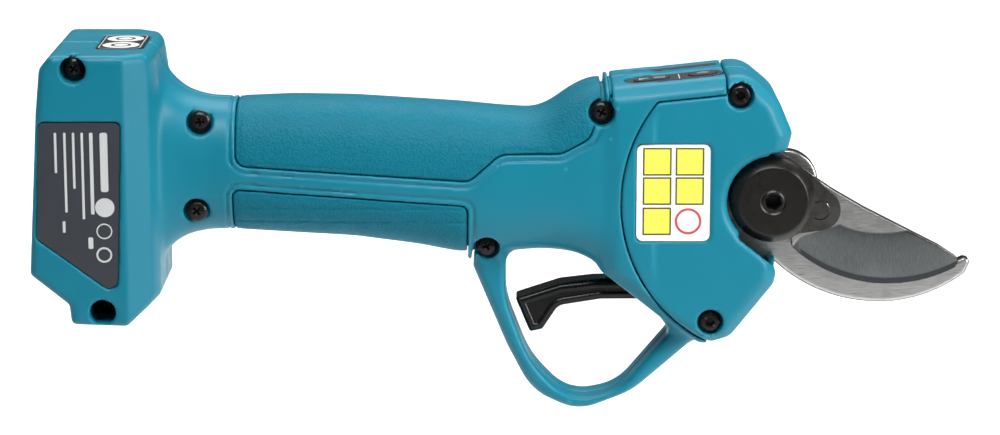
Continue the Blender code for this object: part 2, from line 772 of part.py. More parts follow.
def sector_teeth():
    """The toothed rim: teeth towards +Y, running along cones through the pivot point."""
    cone = math.pi / 2 - BEVEL_PITCH_CONE
    dedendum = 1.25 * BEVEL_MODULE
    flank = bevel_flank(SECTOR_TEETH, cone, BEVEL_MODULE, dedendum, 2)
    root = flank[0][0]
    path = [(root, SECTOR_START)]
    for tooth in range(SWEPT_TEETH):
        centre = SECTOR_START + (tooth + 0.5) * SECTOR_PITCH
        path += [(r, centre - a) for r, a in flank] + [(r, centre + a) for r, a in reversed(flank)]
    path.append((root, SECTOR_END))
    rows = []
    share = SECTOR_INNER / BEVEL_OUTER
    for developed, angle in path:
        x, z, depth = bevel_point(cone, BEVEL_DISTANCE, developed, angle)
        back = [(radius * math.cos(angle), SECTOR_RIM_Y, radius * math.sin(angle))
                for radius in (SECTOR_INNER, SECTOR_OUTER)]
        rows.append([(x * share, -depth * share, z * share), (x, -depth, z), back[1], back[0]])
    made = loft_rows("sector_teeth", rows, True, False)
    made.location = (SEAT_TO_PIVOT, 0, 0)
    return made


def fan(radius_in, radius_out, start, end, steps=16):
    """An outline between two radii about the pivot."""
    return arc((0, 0), radius_out, start, end, steps) + arc((0, 0), radius_in, end, start, steps)


def lug_centre():
    return (LUG_REACH * math.cos(LUG_ANGLE), LUG_REACH * math.sin(LUG_ANGLE))


def drive_lever():
    """Sector, web, hub and the pear-shaped lug that drives the blade, in one piece."""
    hub_radius = CAP_RADIUS - 0.2 * MM
    spread = math.acos((hub_radius - LUG_RADIUS) / LUG_REACH)
    outline = arc((0, 0), hub_radius, LUG_ANGLE + spread, LUG_ANGLE + math.tau - spread, 26)
    outline += arc(lug_centre(), LUG_RADIUS, LUG_ANGLE - spread, LUG_ANGLE + spread, 10)
    lever = slab("drive_lever", [moved(outline, x=SEAT_TO_PIVOT)], LEVER_NEAR_Y, LEVER_FAR_Y)
    inset = math.radians(0.6)
    start, end = SECTOR_START + inset, SECTOR_END - inset
    fan_outline = fan(6 * MM, SECTOR_INNER + 0.6 * MM, start, end)
    web = slab("web", [moved(fan_outline, x=SEAT_TO_PIVOT)], LEVER_NEAR_Y + GAP, LEVER_FAR_Y - GAP)
    step_outline = fan(21.5 * MM, SECTOR_INNER + 1 * MM, start + inset, end - inset)
    step_y = (SECTOR_RIM_Y + GAP, LEVER_NEAR_Y + 1 * MM)
    step = slab("rim_step", [moved(step_outline, x=SEAT_TO_PIVOT)], *step_y)
    origin_at(lever, PIVOT_POINT)
    join(lever, web, step, sector_teeth())
    cut(lever, blade_bore("lever_bore"), lug_hole("lever_lug_hole"))
    part(lever, "drive_lever", DARK_STEEL)


def blade_bore(name):
    return rod_y(name, BUSH_RADIUS + GAP, (SEAT_TO_PIVOT, 0), -FAR, FAR)


def lug_hole(name):
    x, z = lug_centre()
    return rod_y(name, LUG_PIN_RADIUS + GAP, (SEAT_TO_PIVOT + x, z), -FAR, FAR, sides=24)


# ---------------------------------------------------------------- cutting head


def moving_blade():
    """Curved cutting blade: a round hub, a nearly straight spine and a bowed edge."""
    edge = arc_through((9.0 * MM, -18.6 * MM), (34 * MM, -28 * MM), (55.9 * MM, -23.0 * MM), 14)
    tip = arc((54.6 * MM, -21.0 * MM), 2 * MM, math.radians(-50), math.radians(62), 4)
    hub = arc((0, 0), HUB_RADIUS, math.radians(38), math.radians(298), 20)
    spine = [(18.5 * MM, 1.2 * MM), (28.1 * MM, -4.4 * MM), (50.5 * MM, -15.9 * MM)]
    heel = [(6.9 * MM, -16.3 * MM)]
    outline = hub + heel + edge + tip + spine[::-1]
    blade = slab("moving_blade", [moved(outline, x=SEAT_TO_PIVOT)], BLADE_NEAR_Y, BLADE_FAR_Y)
    origin_at(blade, PIVOT_POINT)
    cut(blade, blade_bore("blade_bore"), lug_hole("blade_lug_hole"))
    part(blade, "moving_blade", BLADE_STEEL)


HOOK_TAIL_SCREW = (-11.5, -19.0)


def hook_blade():
    """Fixed hooked blade: a lobe behind the pivot, a long belly and an upturned tip."""
    lobe = arc((4.8 * MM, 2.8 * MM), 9.6 * MM, math.radians(-28), math.radians(110), 10)
    rear = [(-8 * MM, 9 * MM), (-13.5 * MM, 2 * MM), (-16.5 * MM, -20 * MM), (-14 * MM, -25 * MM)]
    low = [(-6 * MM, -25 * MM), (0.4 * MM, -20.6 * MM)]
    belly = arc_through((1.9 * MM, -21.4 * MM), (15 * MM, -30.1 * MM), (34 * MM, -33.9 * MM), 8)
    belly += arc_through((36 * MM, -33.9 * MM), (48.9 * MM, -30.9 * MM), (58.9 * MM, -25.1 * MM), 7)
    tip = [(60.3 * MM, -21.8 * MM), (59.8 * MM, -20.6 * MM), (58.4 * MM, -20.3 * MM)]
    inner = arc_through((57.1 * MM, -20.9 * MM), (38 * MM, -25.4 * MM), (15 * MM, -17.0 * MM), 10)
    outline = lobe + rear + low + belly + tip + inner
    blade = slab("hook_blade", [moved(outline, x=SEAT_TO_PIVOT)], HOOK_NEAR_Y, HOOK_FAR_Y)
    bolt = rod_y("hook_bolt_hole", PIVOT_RADIUS + GAP, (SEAT_TO_PIVOT, 0), -FAR, FAR)
    screw = rod_y("hook_screw_hole", 2 * MM + GAP, pivot_side(*HOOK_TAIL_SCREW), -FAR, FAR, sides=20)
    cut(blade, bolt, screw)
    part(blade, "hook_blade", BLADE_STEEL)


def hex_recess(name, centre, across, low_y, high_y):
    return rod_y(name, across / math.sqrt(3), centre, low_y, high_y, sides=6)


NUT_NEAR_Y = 9 * MM
NUT_THICKNESS = 7 * MM
NUT_ACROSS = 15 * MM
BOLT_END_Y = NUT_NEAR_Y + NUT_THICKNESS + 1 * MM


def place_y(obj, centre):
    """Turns a piece made along local Z so that it lies along -Y at a point."""
    obj.rotation_euler = (math.pi / 2, 0, 0)
    obj.location = (centre[0], 0, centre[1])
    return obj


def pivot_bolt():
    """Cap, shank and hex socket. Local z is -Y."""
    face, under = -CAP_FACE_Y, -(LEVER_NEAR_Y - GAP)
    chamfer, flat_radius = 2.6 * MM, CAP_RADIUS - 2.4 * MM
    profile = [(0, face), (flat_radius, face), (CAP_RADIUS, face - chamfer), (CAP_RADIUS, under),
               (PIVOT_RADIUS, under), (PIVOT_RADIUS, -BOLT_END_Y), (0, -BOLT_END_Y)]
    bolt = place_y(turned("pivot_bolt", profile, 40), (SEAT_TO_PIVOT, 0))
    low_y, high_y = CAP_FACE_Y - 1 * MM, CAP_FACE_Y + 4.5 * MM
    cut(bolt, hex_recess("bolt_socket", (SEAT_TO_PIVOT, 0), 6 * MM, low_y, high_y))
    part(bolt, "pivot_bolt", BLACK_STEEL)


def tube(name, inner, outer, low, high, sides=32):
    """A plain bush about local Z."""
    return turned(name, [(outer, high), (outer, low), (inner, low), (inner, high)], sides)


def pivot_hardware():
    bush = tube("pivot_bush", PIVOT_RADIUS + GAP, BUSH_RADIUS, -BLADE_FAR_Y, -LEVER_NEAR_Y)
    part(place_y(bush, (SEAT_TO_PIVOT, 0)), "pivot_bush", BRASS)
    nut = rod_y("pivot_nut", NUT_ACROSS / math.sqrt(3), (SEAT_TO_PIVOT, 0), NUT_NEAR_Y,
                NUT_NEAR_Y + NUT_THICKNESS, sides=6)
    cut(nut, rod_y("nut_bore", PIVOT_RADIUS + GAP, (SEAT_TO_PIVOT, 0), -FAR, FAR))
    part(nut, "pivot_nut", DARK_STEEL)
    x, z = lug_centre()
    pin = rod_y("drive_pin", LUG_PIN_RADIUS, (SEAT_TO_PIVOT + x, z), LEVER_NEAR_Y, BLADE_FAR_Y, sides=24)
    part(origin_at(pin, PIVOT_POINT), "drive_pin", DARK_STEEL)


# ---------------------------------------------------------------- fasteners

# x, z, and the Y of the seat under the head. The rear screws are measured from the battery seat and the
# others from the pivot.
REAR_SCREWS = ((-1.9, 40.4, -21.5), (33.0, 22.9, -11.0), (31.8, -3.2, -13.0), (5.0, -31.0, -13.0))
FRONT_SCREWS = ((-83.8, -15.0, -6.5), (-50.3, 26.2, -13.5))
COVER_SCREWS = ((-10.1, 31.4, -15.3), (-18.1, -36.0, -15.3))
SCREW_REACH = 11 * MM  # past the split


def screw_places():
    places = [((x * MM, z * MM), y * MM) for x, z, y in REAR_SCREWS]
    return places + [(pivot_side(x, z), y * MM) for x, z, y in FRONT_SCREWS]


def cover_screw_places():
    return [(pivot_side(x, z), y * MM) for x, z, y in COVER_SCREWS]


def screw_blank(name, seat_y):
    """Domed head and shank. Local z is -Y, and z is 0 at the split."""
    seat = -seat_y
    top = seat + SCREW_HEAD_HEIGHT
    profile = [(0, top), (SCREW_HEAD_RADIUS * 0.75, top - 0.3 * MM), (SCREW_HEAD_RADIUS, top - 1.2 * MM),
               (SCREW_HEAD_RADIUS, seat + GAP), (SCREW_RADIUS, seat + GAP), (SCREW_RADIUS, -SCREW_REACH),
               (0, -SCREW_REACH)]
    return turned(name, profile, 16)


def casing_screws():
    for k, (centre, seat_y) in enumerate(screw_places(), 1):
        name = f"casing_screw_{k}"
        made = place_y(screw_blank(name, seat_y), centre)
        top = seat_y - SCREW_HEAD_HEIGHT
        long, thin = 2 * MM, 0.45 * MM
        for way, (wide, high) in {"a": (long, thin), "b": (thin, long)}.items():
            low = (centre[0] - wide, top - 1 * MM, centre[1] - high)
            high_corner = (centre[0] + wide, top + 1.5 * MM, centre[1] + high)
            cut(made, box(f"{name}_cross_{way}", low, high_corner))
        part(made, name, BLACK_STEEL)


def cover_screws():
    for k, (centre, seat_y) in enumerate(cover_screw_places(), 1):
        name = f"cover_screw_{k}"
        made = place_y(screw_blank(name, seat_y), centre)
        top = seat_y - SCREW_HEAD_HEIGHT
        cut(made, hex_recess(name + "_socket", centre, 2.5 * MM, top - 1 * MM, top + 1.6 * MM))
        part(made, name, BLACK_STEEL)
    centre = pivot_side(*HOOK_TAIL_SCREW)
    seat = HOOK_NEAR_Y - 2.4 * MM
    made = rod_y("hook_screw", 2 * MM, centre, HOOK_NEAR_Y - 1 * MM, 12 * MM, sides=20)
    head = rod_y("hook_screw_head", 3.4 * MM, centre, seat, HOOK_NEAR_Y - GAP, sides=20)
    join(made, head)
    part(made, "hook_screw", BLACK_STEEL)


# ---------------------------------------------------------------- trigger group

TRIGGER_CORNERS = (
    (-75.4, -31.8, 0.8),
    (-71.0, -42.4, 0.8),
    (-67.2, -41.6, 1.5),
    (-62.5, -34.4, 4),
    (-50, -32.4, 0),
    (-33, -32.3, 0),
    (-26.6, -31.0, 1),
    (-26.6, -22.0, 1),
    (-33, -21.6, 1),
    (-40, -26.0, 4),
    (-52, -26.2, 4),
    (-62, -27.4, 6),
)
SPRING_X = -42.6  # from the pivot
SPRING_RADIUS = 2.4 * MM
SPRING_WIRE = 0.3 * MM
SPRING_LOW_Z = -25.4 * MM
SPRING_HIGH_Z = -15.8 * MM
SPRING_COILS = 5
SENSOR_PLACE = (-28.6, -25.5)


def trigger():
    width = TRIGGER_HALF_WIDTH
    made = slab("trigger", [from_pivot(TRIGGER_CORNERS)], -width, width)
    origin_at(rounded_edges(made, 0.8 * MM, 1), (TRIGGER_PIVOT[0], 0, TRIGGER_PIVOT[1]))
    bore = rod_y("trigger_bore", TRIGGER_PIN_RADIUS + GAP, TRIGGER_PIVOT, -FAR, FAR, sides=20)
    part(cut(made, bore), "trigger", BLACK_PLASTIC)
    pin = rod_y("trigger_pin", TRIGGER_PIN_RADIUS, TRIGGER_PIVOT, -13 * MM, 13 * MM, sides=20)
    part(pin, "trigger_pin", DARK_STEEL)


def trigger_spring():
    """Coil between the trigger's back and the shelf in the casing."""
    steps = 10
    curve = bpy.data.curves.new("trigger_spring", "CURVE")
    curve.dimensions = "3D"
    curve.bevel_depth = SPRING_WIRE
    curve.bevel_resolution = 1
    curve.use_fill_caps = True
    spline = curve.splines.new("POLY")
    count = SPRING_COILS * steps
    spline.points.add(count)
    centre_x, _ = pivot_side(SPRING_X, 0)
    for i, point in enumerate(spline.points):
        turn = math.tau * i / steps
        climb = SPRING_HIGH_Z - SPRING_LOW_Z - 2 * SPRING_WIRE
        height = SPRING_LOW_Z + SPRING_WIRE + climb * i / count
        point.co = (centre_x + SPRING_RADIUS * math.cos(turn), SPRING_RADIUS * math.sin(turn), height, 1)
    made = bpy.data.objects.new("trigger_spring", curve)
    PARTS.objects.link(made)
    curve.materials.append(material("trigger_spring_steel", *GEAR_STEEL[1:]))


# ---------------------------------------------------------------- drive pieces


def drive_pieces():
    seat = BEARING_FRONT + BEARING_WIDTH + GAP
    lip = BEARING_RADIUS - 2.5 * MM
    profile = [(DRIVE_RADIUS, -HOLDER_FRONT), (DRIVE_RADIUS, -HOLDER_REAR), (lip, -HOLDER_REAR),
               (lip, -seat), (BEARING_RADIUS + GAP, -seat), (BEARING_RADIUS + GAP, -HOLDER_FRONT)]
    part(on_drive(turned("bearing_holder", profile)), "bearing_holder", ALUMINIUM)
    front, low = -BEARING_FRONT, -BEARING_FRONT - BEARING_WIDTH
    floor = front - BEARING_WIDTH / 6
    inner_race, outer_race = OUTPUT_RADIUS + 1.7 * MM, BEARING_RADIUS - 1.5 * MM
    race = [(BEARING_RADIUS, front), (BEARING_RADIUS, low), (OUTPUT_RADIUS + GAP, low),
            (OUTPUT_RADIUS + GAP, front), (inner_race, front), (inner_race, floor),
            (outer_race, floor), (outer_race, front)]
    part(on_drive(turned("output_bearing", race)), "output_bearing", GEAR_STEEL)
    ring_gear()
    output_shaft()
    carrier_1()
    planet_stage(1, PLANETS_1_FRONT)
    planet_stage(2, PLANETS_2_FRONT)
    sun_length = SUN_1_REAR - PLANETS_1_FRONT - 0.2 * MM
    sun = spur_gear("sun_gear_1", SUN_TEETH, sun_length, ROTOR_SHAFT_RADIUS + GAP)
    on_drive(part(sun, "sun_gear_1", GEAR_STEEL), PLANETS_1_FRONT + 0.2 * MM)
    bevel_pinion()


def motor():
    """Can with its front wall, end bell, stator with six slots, and rotor with its shaft."""
    can_wall, plate = 0.8 * MM, 2 * MM
    bell = 3 * MM
    inside = DRIVE_RADIUS - can_wall
    can = [(DRIVE_RADIUS, -MOTOR_FRONT), (DRIVE_RADIUS, -MOTOR_REAR), (inside, -MOTOR_REAR),
           (inside, -MOTOR_FRONT - plate), (ROTOR_SHAFT_RADIUS + GAP, -MOTOR_FRONT - plate),
           (ROTOR_SHAFT_RADIUS + GAP, -MOTOR_FRONT)]
    part(on_drive(turned("motor_can", can)), "motor_can", BLACK_STEEL)
    end = tube("motor_end_bell", ROTOR_SHAFT_RADIUS + GAP, inside - GAP, -MOTOR_REAR, -MOTOR_REAR + bell)
    part(on_drive(end), "motor_end_bell", ALUMINIUM)
    low, high = MOTOR_FRONT + plate + 3 * MM, MOTOR_REAR - bell - 3 * MM
    rotor_radius = 7 * MM
    slots = []
    slot_count = 6
    for k in range(slot_count):
        centre = math.tau * k / slot_count
        half = math.tau / slot_count / 2
        slots += arc((0, 0), rotor_radius + 0.5 * MM, centre - half * 0.75, centre + half * 0.75, 3)
        slots += arc((0, 0), inside - 2.2 * MM, centre + half * 0.8, centre + half * 1.2, 1)
    core = flat("stator", [arc((0, 0), inside - GAP, 0, math.tau * 31 / 32, 31), slots], high - low)
    core.transform(Matrix.Translation((0, 0, -(low + high) / 2)))
    part(on_drive(tool("stator", core)), "stator", GEAR_STEEL)
    shaft_front, shaft_rear = PLANETS_1_FRONT + 0.4 * MM, MOTOR_REAR - 0.5 * MM
    rotor = [(0, -shaft_front), (ROTOR_SHAFT_RADIUS, -shaft_front), (ROTOR_SHAFT_RADIUS, -low - 1 * MM),
             (rotor_radius, -low - 1 * MM), (rotor_radius, -high + 1 * MM),
             (ROTOR_SHAFT_RADIUS, -high + 1 * MM), (ROTOR_SHAFT_RADIUS, -shaft_rear), (0, -shaft_rear)]
    part(on_drive(turned("rotor", rotor, 24)), "rotor", MAGNET)


# ---------------------------------------------------------------- electronics

TERMINAL_BLOCK = ((-15.6, 15.6), (-19.6, 27.6))  # Y and Z ranges of the block in the battery seat, mm
TERMINAL_DEPTH = 4.4 * MM
BOARD_X = 10 * MM
BOARD_THICKNESS = 1.6 * MM


def terminal_block():
    (y0, y1), (z0, z1) = TERMINAL_BLOCK
    made = box("terminal_block", (0, y0 * MM, z0 * MM), (TERMINAL_DEPTH, y1 * MM, z1 * MM))
    for side, name in ((-1, "contact_positive"), (1, "contact_negative")):
        low, high = (side * 7 - 0.5) * MM, (side * 7 + 0.5) * MM
        blade = box(name, (-7 * MM, low, 12 * MM), (BOARD_X - 1.2 * MM, high, 22 * MM))
        slot = box(name + "_slot", (-FAR, low - GAP, 12 * MM - GAP), (FAR, high + GAP, 22 * MM + GAP))
        cut(made, slot)
        part(blade, name, BRASS)
    part(made, "terminal_block", BLACK_PLASTIC)


def controller_board():
    """Board across the cradle, with its capacitor, chip and lead posts."""
    front = BOARD_X + BOARD_THICKNESS
    made = box("controller_board", (BOARD_X, -14 * MM, -18 * MM), (front, 14 * MM, 33 * MM))
    bits = [box("chip", (front - 0.3 * MM, -6 * MM, -12 * MM), (front + 2 * MM, 6 * MM, 0))]
    stand, end = (front - 0.3 * MM, 8 * MM, 26 * MM), (front + 5 * MM, 8 * MM, 26 * MM)
    bits.append(rod("capacitor", 4 * MM, stand, end, sides=20))
    join(made, *bits)
    part(made, "controller_board", BOARD)


LEAD_RADIUS = 0.9 * MM
LEAD_SPACING = 5 * MM


def motor_leads():
    start_x = BOARD_X + BOARD_THICKNESS + GAP
    end_x, end_z = drive_point(MOTOR_REAR + 0.8 * MM)
    for k, name in enumerate(("motor_lead_u", "motor_lead_v", "motor_lead_w")):
        y = (k - 1) * LEAD_SPACING
        curve = bpy.data.curves.new(name, "CURVE")
        curve.dimensions = "3D"
        curve.bevel_depth = LEAD_RADIUS
        curve.bevel_resolution = 1
        curve.use_fill_caps = True
        steps = 14
        spline = curve.splines.new("POLY")
        spline.points.add(steps)
        for i, point in enumerate(spline.points):
            t = i / steps
            ease = t * t * (3 - 2 * t)
            z = 6 * MM + (end_z + 5 * MM - 6 * MM) * ease + 1.5 * MM * math.sin(math.tau * t)
            point.co = (start_x + (end_x - start_x) * t, y * (1 + 0.25 * math.sin(math.pi * t)), z, 1)
        made = bpy.data.objects.new(name, curve)
        PARTS.objects.link(made)
        curve.materials.append(material(name + "_insulation", *LEAD[1:]))


# ---------------------------------------------------------------- control panel and labels

TOP_SLOPE = math.atan2(4.5, 42)  # of the head's roof, rising forward
ROOF_POINT = pivot_side(-29, 35.4)


def roof_frame():
    """Matrix of the head's roof: local X forward, local Z out of the surface."""
    return (Matrix.Translation((ROOF_POINT[0], 0, ROOF_POINT[1]))
            @ Matrix.Rotation(-TOP_SLOPE, 4, "Y"))


def on_roof(name, outline, low, high):
    mesh = flat(name, [outline], high - low)
    mesh.transform(roof_frame() @ Matrix.Translation((0, 0, (low + high) / 2)))
    return tool(name, mesh)


def rounded_rectangle(centre, width, height, radius, grow=0.0):
    x, y = centre
    w, h = width / 2, height / 2
    corners = [(x - w, y - h), (x + w, y - h), (x + w, y + h), (x - w, y + h)]
    return rounded([(cx, cy, radius) for cx, cy in corners], steps=3, grow=grow)


# Centre, width, height and corner radius on the roof, in millimetres
PANEL_SHAPE = ((0, -7.2), 28.5, 10.5, 4.5)
STRIP_SHAPE = ((0, 8.2), 26, 3.6, 1.0)
KEY_SHAPES = {"mode_button": ((-6.5, -7.2), 10, 6.5, 2.5), "power_button": ((8.5, -7.2), 8, 6.5, 2.5)}
PANEL_THICKNESS = 1.0 * MM
PANEL_LEDGE = 1.0 * MM
KEY_PROUD = 0.35 * MM
KEY_LENGTH = 1.7 * MM
KEY_TRAVEL = 0.6 * MM


def control_panel():
    panel = on_roof("control_panel", rounded_rectangle(*PANEL_SHAPE), -PANEL_THICKNESS, 0)
    for name, shape in KEY_SHAPES.items():
        window = on_roof(name + "_window", rounded_rectangle(*shape, grow=GAP), -FAR, FAR)
        cut(panel, window)
        key = on_roof(name, rounded_rectangle(*shape), -KEY_LENGTH, KEY_PROUD)
        (x, y), *_ = shape
        origin_at(key, roof_frame() @ Vector((x * MM, y * MM, 0)))
        part(key, name, PLATE_GREY)
    part(panel, "control_panel", PLATE_GREY)
    strip = on_roof("status_strip", rounded_rectangle(*STRIP_SHAPE), -PANEL_THICKNESS, 0)
    part(strip, "status_strip", PLATE_GREY)
    board_top = -KEY_LENGTH - KEY_TRAVEL - GAP
    centre, width, height, radius = PANEL_SHAPE
    outline = rounded_rectangle(centre, width, height, radius, grow=-PANEL_LEDGE - GAP)
    board = on_roof("key_board", outline, board_top - 0.8 * MM, board_top)
    part(board, "key_board", BOARD)
    x, z = pivot_side(*SENSOR_PLACE)
    sensor = box("sensor_board", (x - 0.8 * MM, TRIGGER_HALF_WIDTH + 1.2 * MM, z - 5 * MM),
                 (x + 5 * MM, TRIGGER_HALF_WIDTH + 2.4 * MM, z + 5 * MM))
    part(sensor, "sensor_board", BOARD)


def roof_cutters(prefix):
    """Recesses for the panel and the strip, and the opening under the keys."""
    depth = -PANEL_THICKNESS - GAP
    opening = rounded_rectangle(*PANEL_SHAPE, grow=-PANEL_LEDGE)
    return [on_roof(prefix + "_panel_recess", rounded_rectangle(*PANEL_SHAPE, grow=GAP), depth, FAR),
            on_roof(prefix + "_strip_recess", rounded_rectangle(*STRIP_SHAPE, grow=GAP), depth, FAR),
            on_roof(prefix + "_key_opening", opening, -8 * MM, FAR)]


PLATE_CORNERS = (
    (-12.0, 25.2, 1.6),
    (11.4, 25.2, 1.6),
    (9.6, -23.2, 2.5),
    (6.6, -23.6, 1.5),
    (-13.4, -8.8, 1.6),
)
SAFETY_LABEL = (-29.4, 3.0, 21.4, 28.6, 1.8)  # centre x and z from the pivot, width, height, corner radius
ROOF_LABEL = ((9.8, 0), 13.5, 26, 2.5)
LABEL_THICKNESS = 0.4 * MM


def rating_plate(grow, low_y, high_y, name):
    return slab(name, [rounded(PLATE_CORNERS, grow=grow)], low_y, high_y)


def safety_label(grow, low_y, high_y, name):
    x, z, width, height, radius = SAFETY_LABEL
    outline = moved(rounded_rectangle((x, z), width, height, radius, grow), x=SEAT_TO_PIVOT)
    return slab(name, [outline], low_y, high_y)


CRADLE_ROOF_Z = CRADLE_CORNERS[0][1] * MM


def labels():
    plate_y = -CRADLE_HALF_WIDTH
    part(rating_plate(0, plate_y + 0.2 * MM, plate_y + 0.8 * MM, "rating_plate"), "rating_plate", PLATE_GREY)
    side_y = -HEAD_HALF_WIDTH
    part(safety_label(0, side_y, side_y + LABEL_THICKNESS, "safety_label"), "safety_label", WHITE_LABEL)
    roof = plan("roof_label", rounded_rectangle(*ROOF_LABEL), CRADLE_ROOF_Z - LABEL_THICKNESS, CRADLE_ROOF_Z)
    part(roof, "roof_label", WHITE_LABEL)


# ---------------------------------------------------------------- grips

# Borders of the grips, from the battery seat (rear) and from the pivot (front), in millimetres
GRIP_REAR_X = 43.6


def upper_grip_corners():
    front = SEAT_TO_PIVOT / MM
    return ((GRIP_REAR_X, 60, 0), (GRIP_REAR_X, 10.6, 3), (front - 89, 6.2, 4), (front - 80, 14.0, 6),
            (front - 62, 14.4, 6), (front - 54, 18.8, 4), (front - 49.6, 30, 0), (front - 49.4, 60, 0))


def lower_grip_corners():
    front = SEAT_TO_PIVOT / MM
    return ((GRIP_REAR_X - 1, 3.4, 2), (front - 89.5, -1.4, 2), (front - 89.5, -16.6, 0),
            (front - 96, -60, 0), (GRIP_REAR_X - 1, -60, 0))


def grip_zone(name, corners, grow=0.0):
    return slab(name, [rounded(corners, grow=grow)], -FAR, FAR)


def grip_pocket(name, corners):
    """What the casing loses to a grip: the zone, but only near the surface."""
    zone = grip_zone(name, corners, GAP)
    return cut(zone, handle_body(name + "_floor", -GRIP_THICKNESS - GAP, 10 * MM))


def grip_piece(name, corners, side):
    low, high = (-FAR, -GAP / 2) if side < 0 else (GAP / 2, FAR)
    piece = box(name, (0, low, -FAR), (SEAT_TO_PIVOT, high, FAR))
    keep(piece, handle_body(name + "_outer", 0), grip_zone(name + "_zone", corners))
    cut(piece, handle_body(name + "_inner", -GRIP_THICKNESS, 10 * MM), head_block(name + "_head", GAP, 0))
    for k, (centre, _) in enumerate(screw_places()):
        if side < 0 and centre[0] > GRIP_REAR_X * MM:
            recess = SCREW_HEAD_RADIUS + RECESS_GAP
            cut(piece, rod_y(f"{name}_recess_{k}", recess, centre, -FAR, 0, sides=18))
    part(piece, name, GRIP)


# ---------------------------------------------------------------- casing pieces


def cover_zone(name, grow):
    """The round zone about the pivot that the head covers fill, less the roof's tongue."""
    centre = (SEAT_TO_PIVOT + SEAM_CENTRE_X, 0)
    zone = rod_y(name, SEAM_RADIUS + grow, centre, -FAR, FAR, sides=96)
    lift = grow * -1
    tongue = [(-60, 27.0), (-14.1, 31.8), (-14.1, 60), (-60, 60)]
    outline = grown([pivot_side(x, z) for x, z in tongue], lift)
    return cut(zone, slab(name + "_tongue", [outline], -FAR, FAR))


RIB_PLACES = (MOTOR_REAR - 5 * MM, MOTOR_FRONT + 5 * MM, RING_REAR - 5 * MM, HOLDER_FRONT + 8 * MM)
RIB_THICKNESS = 2 * MM


def ribs(prefix):
    """Cross walls that hold the motor and the gears."""
    walls = []
    for k, distance in enumerate(RIB_PLACES):
        x, z = drive_point(distance)
        low = (x - RIB_THICKNESS / 2, -FAR, z - DRIVE_RADIUS - 5 * MM)
        high = (x + RIB_THICKNESS / 2, FAR, z + DRIVE_RADIUS + 5 * MM)
        walls.append(box(f"{prefix}_rib_{k}", low, high))
    return walls


def drive_bore(prefix):
    rear, front = (0, 0, -MOTOR_REAR - 2 * MM), (0, 0, -20 * MM)
    bore = rod(prefix + "_drive_bore", DRIVE_RADIUS + GAP, rear, front, sides=28)
    bore.parent = DRIVE
    return bore


def housing_hollow(prefix):
    """The space inside the housing, left solid where posts, ribs and the spring's shelf stand."""
    hollow = handle_body(prefix + "_hollow", -WALL - GRIP_THICKNESS, -0.6 * MM)
    inner = CRADLE_HALF_WIDTH * CRADLE_SHOULDER - WALL
    front = CRADLE_SHOULDER_X - WALL
    cradle = box(prefix + "_cradle_hollow", (SEAT_WALL_X, -inner, -24 * MM), (front, inner, 39 * MM))
    join(hollow, cradle, head_block(prefix + "_head_hollow", -WALL, 0))
    return cut(hollow, *ribs(prefix), *screw_posts(prefix, screw_places()), spring_shelf(prefix))


def bay_cutters(prefix):
    """The open bay that the battery slides up into, and the window for the terminal block."""
    bay = box(prefix + "_bay", (-FAR, -BAY_HALF_WIDTH, -FAR), (0, BAY_HALF_WIDTH, 35.9 * MM))
    rail_low, rail_high = -10.5 * MM, -7.5 * MM
    for side in (-1, 1):
        inner = side * (BAY_HALF_WIDTH - 2.6 * MM)
        edges = sorted((inner, side * FAR))
        low, high = (rail_low, edges[0], -26 * MM), (rail_high, edges[1], 34 * MM)
        cut(bay, box(f"{prefix}_rail_{side}", low, high))
    loft_half = BAY_HALF_WIDTH - 3 * MM
    loft = box(prefix + "_bay_roof", (-FAR, -loft_half, 30 * MM), (-6.4 * MM, loft_half, 42 * MM))
    (y0, y1), (z0, z1) = TERMINAL_BLOCK
    window = box(prefix + "_window", (-FAR, y0 * MM - GAP, z0 * MM - GAP),
                 (SEAT_WALL_X + 1 * MM, y1 * MM + GAP, z1 * MM + GAP))
    return [bay, loft, window]


def screw_posts(prefix, places):
    """Posts round the screws, each with a collar under the screw's head."""
    posts = []
    radius = SCREW_RADIUS + GAP + BOSS_WALL
    collar_radius = SCREW_HEAD_RADIUS + RECESS_GAP + COLLAR_WALL
    for k, (centre, seat_y) in enumerate(places):
        posts.append(rod_y(f"{prefix}_post_{k}", radius, centre, -FAR, FAR, sides=12))
        posts.append(rod_y(f"{prefix}_collar_{k}", collar_radius, centre, -FAR, seat_y + 1.3 * MM, sides=16))
    return posts


def screw_cutters(prefix, places):
    tools = []
    recess, bore = SCREW_HEAD_RADIUS + RECESS_GAP, SCREW_RADIUS + GAP
    for k, (centre, seat_y) in enumerate(places):
        tools.append(rod_y(f"{prefix}_recess_{k}", recess, centre, -FAR, seat_y, sides=18))
        tools.append(rod_y(f"{prefix}_shank_{k}", bore, centre, -FAR, SCREW_REACH + 1 * MM, sides=10))
    return tools


def trigger_slot(prefix):
    half = TRIGGER_HALF_WIDTH + 0.9 * MM
    x0, _ = pivot_side(-60, 0)
    x1, _ = pivot_side(-25.6, 0)
    return box(prefix + "_slot", (x0, -half, -33.2 * MM), (x1, half, -19.8 * MM))


def spring_shelf(prefix):
    """Shelf over the trigger's return spring, across the casing."""
    x, _ = pivot_side(SPRING_X, 0)
    low = SPRING_HIGH_Z + GAP
    return box(prefix + "_shelf", (x - 3.5 * MM, -FAR, low), (x + 3.5 * MM, FAR, low + 2 * MM))


def half_space(name, side):
    low, high = (-FAR, -GAP / 2) if side < 0 else (GAP / 2, FAR)
    return box(name, (-FAR, low, -2 * FAR), (SEAT_TO_PIVOT + FAR, high, 2 * FAR))


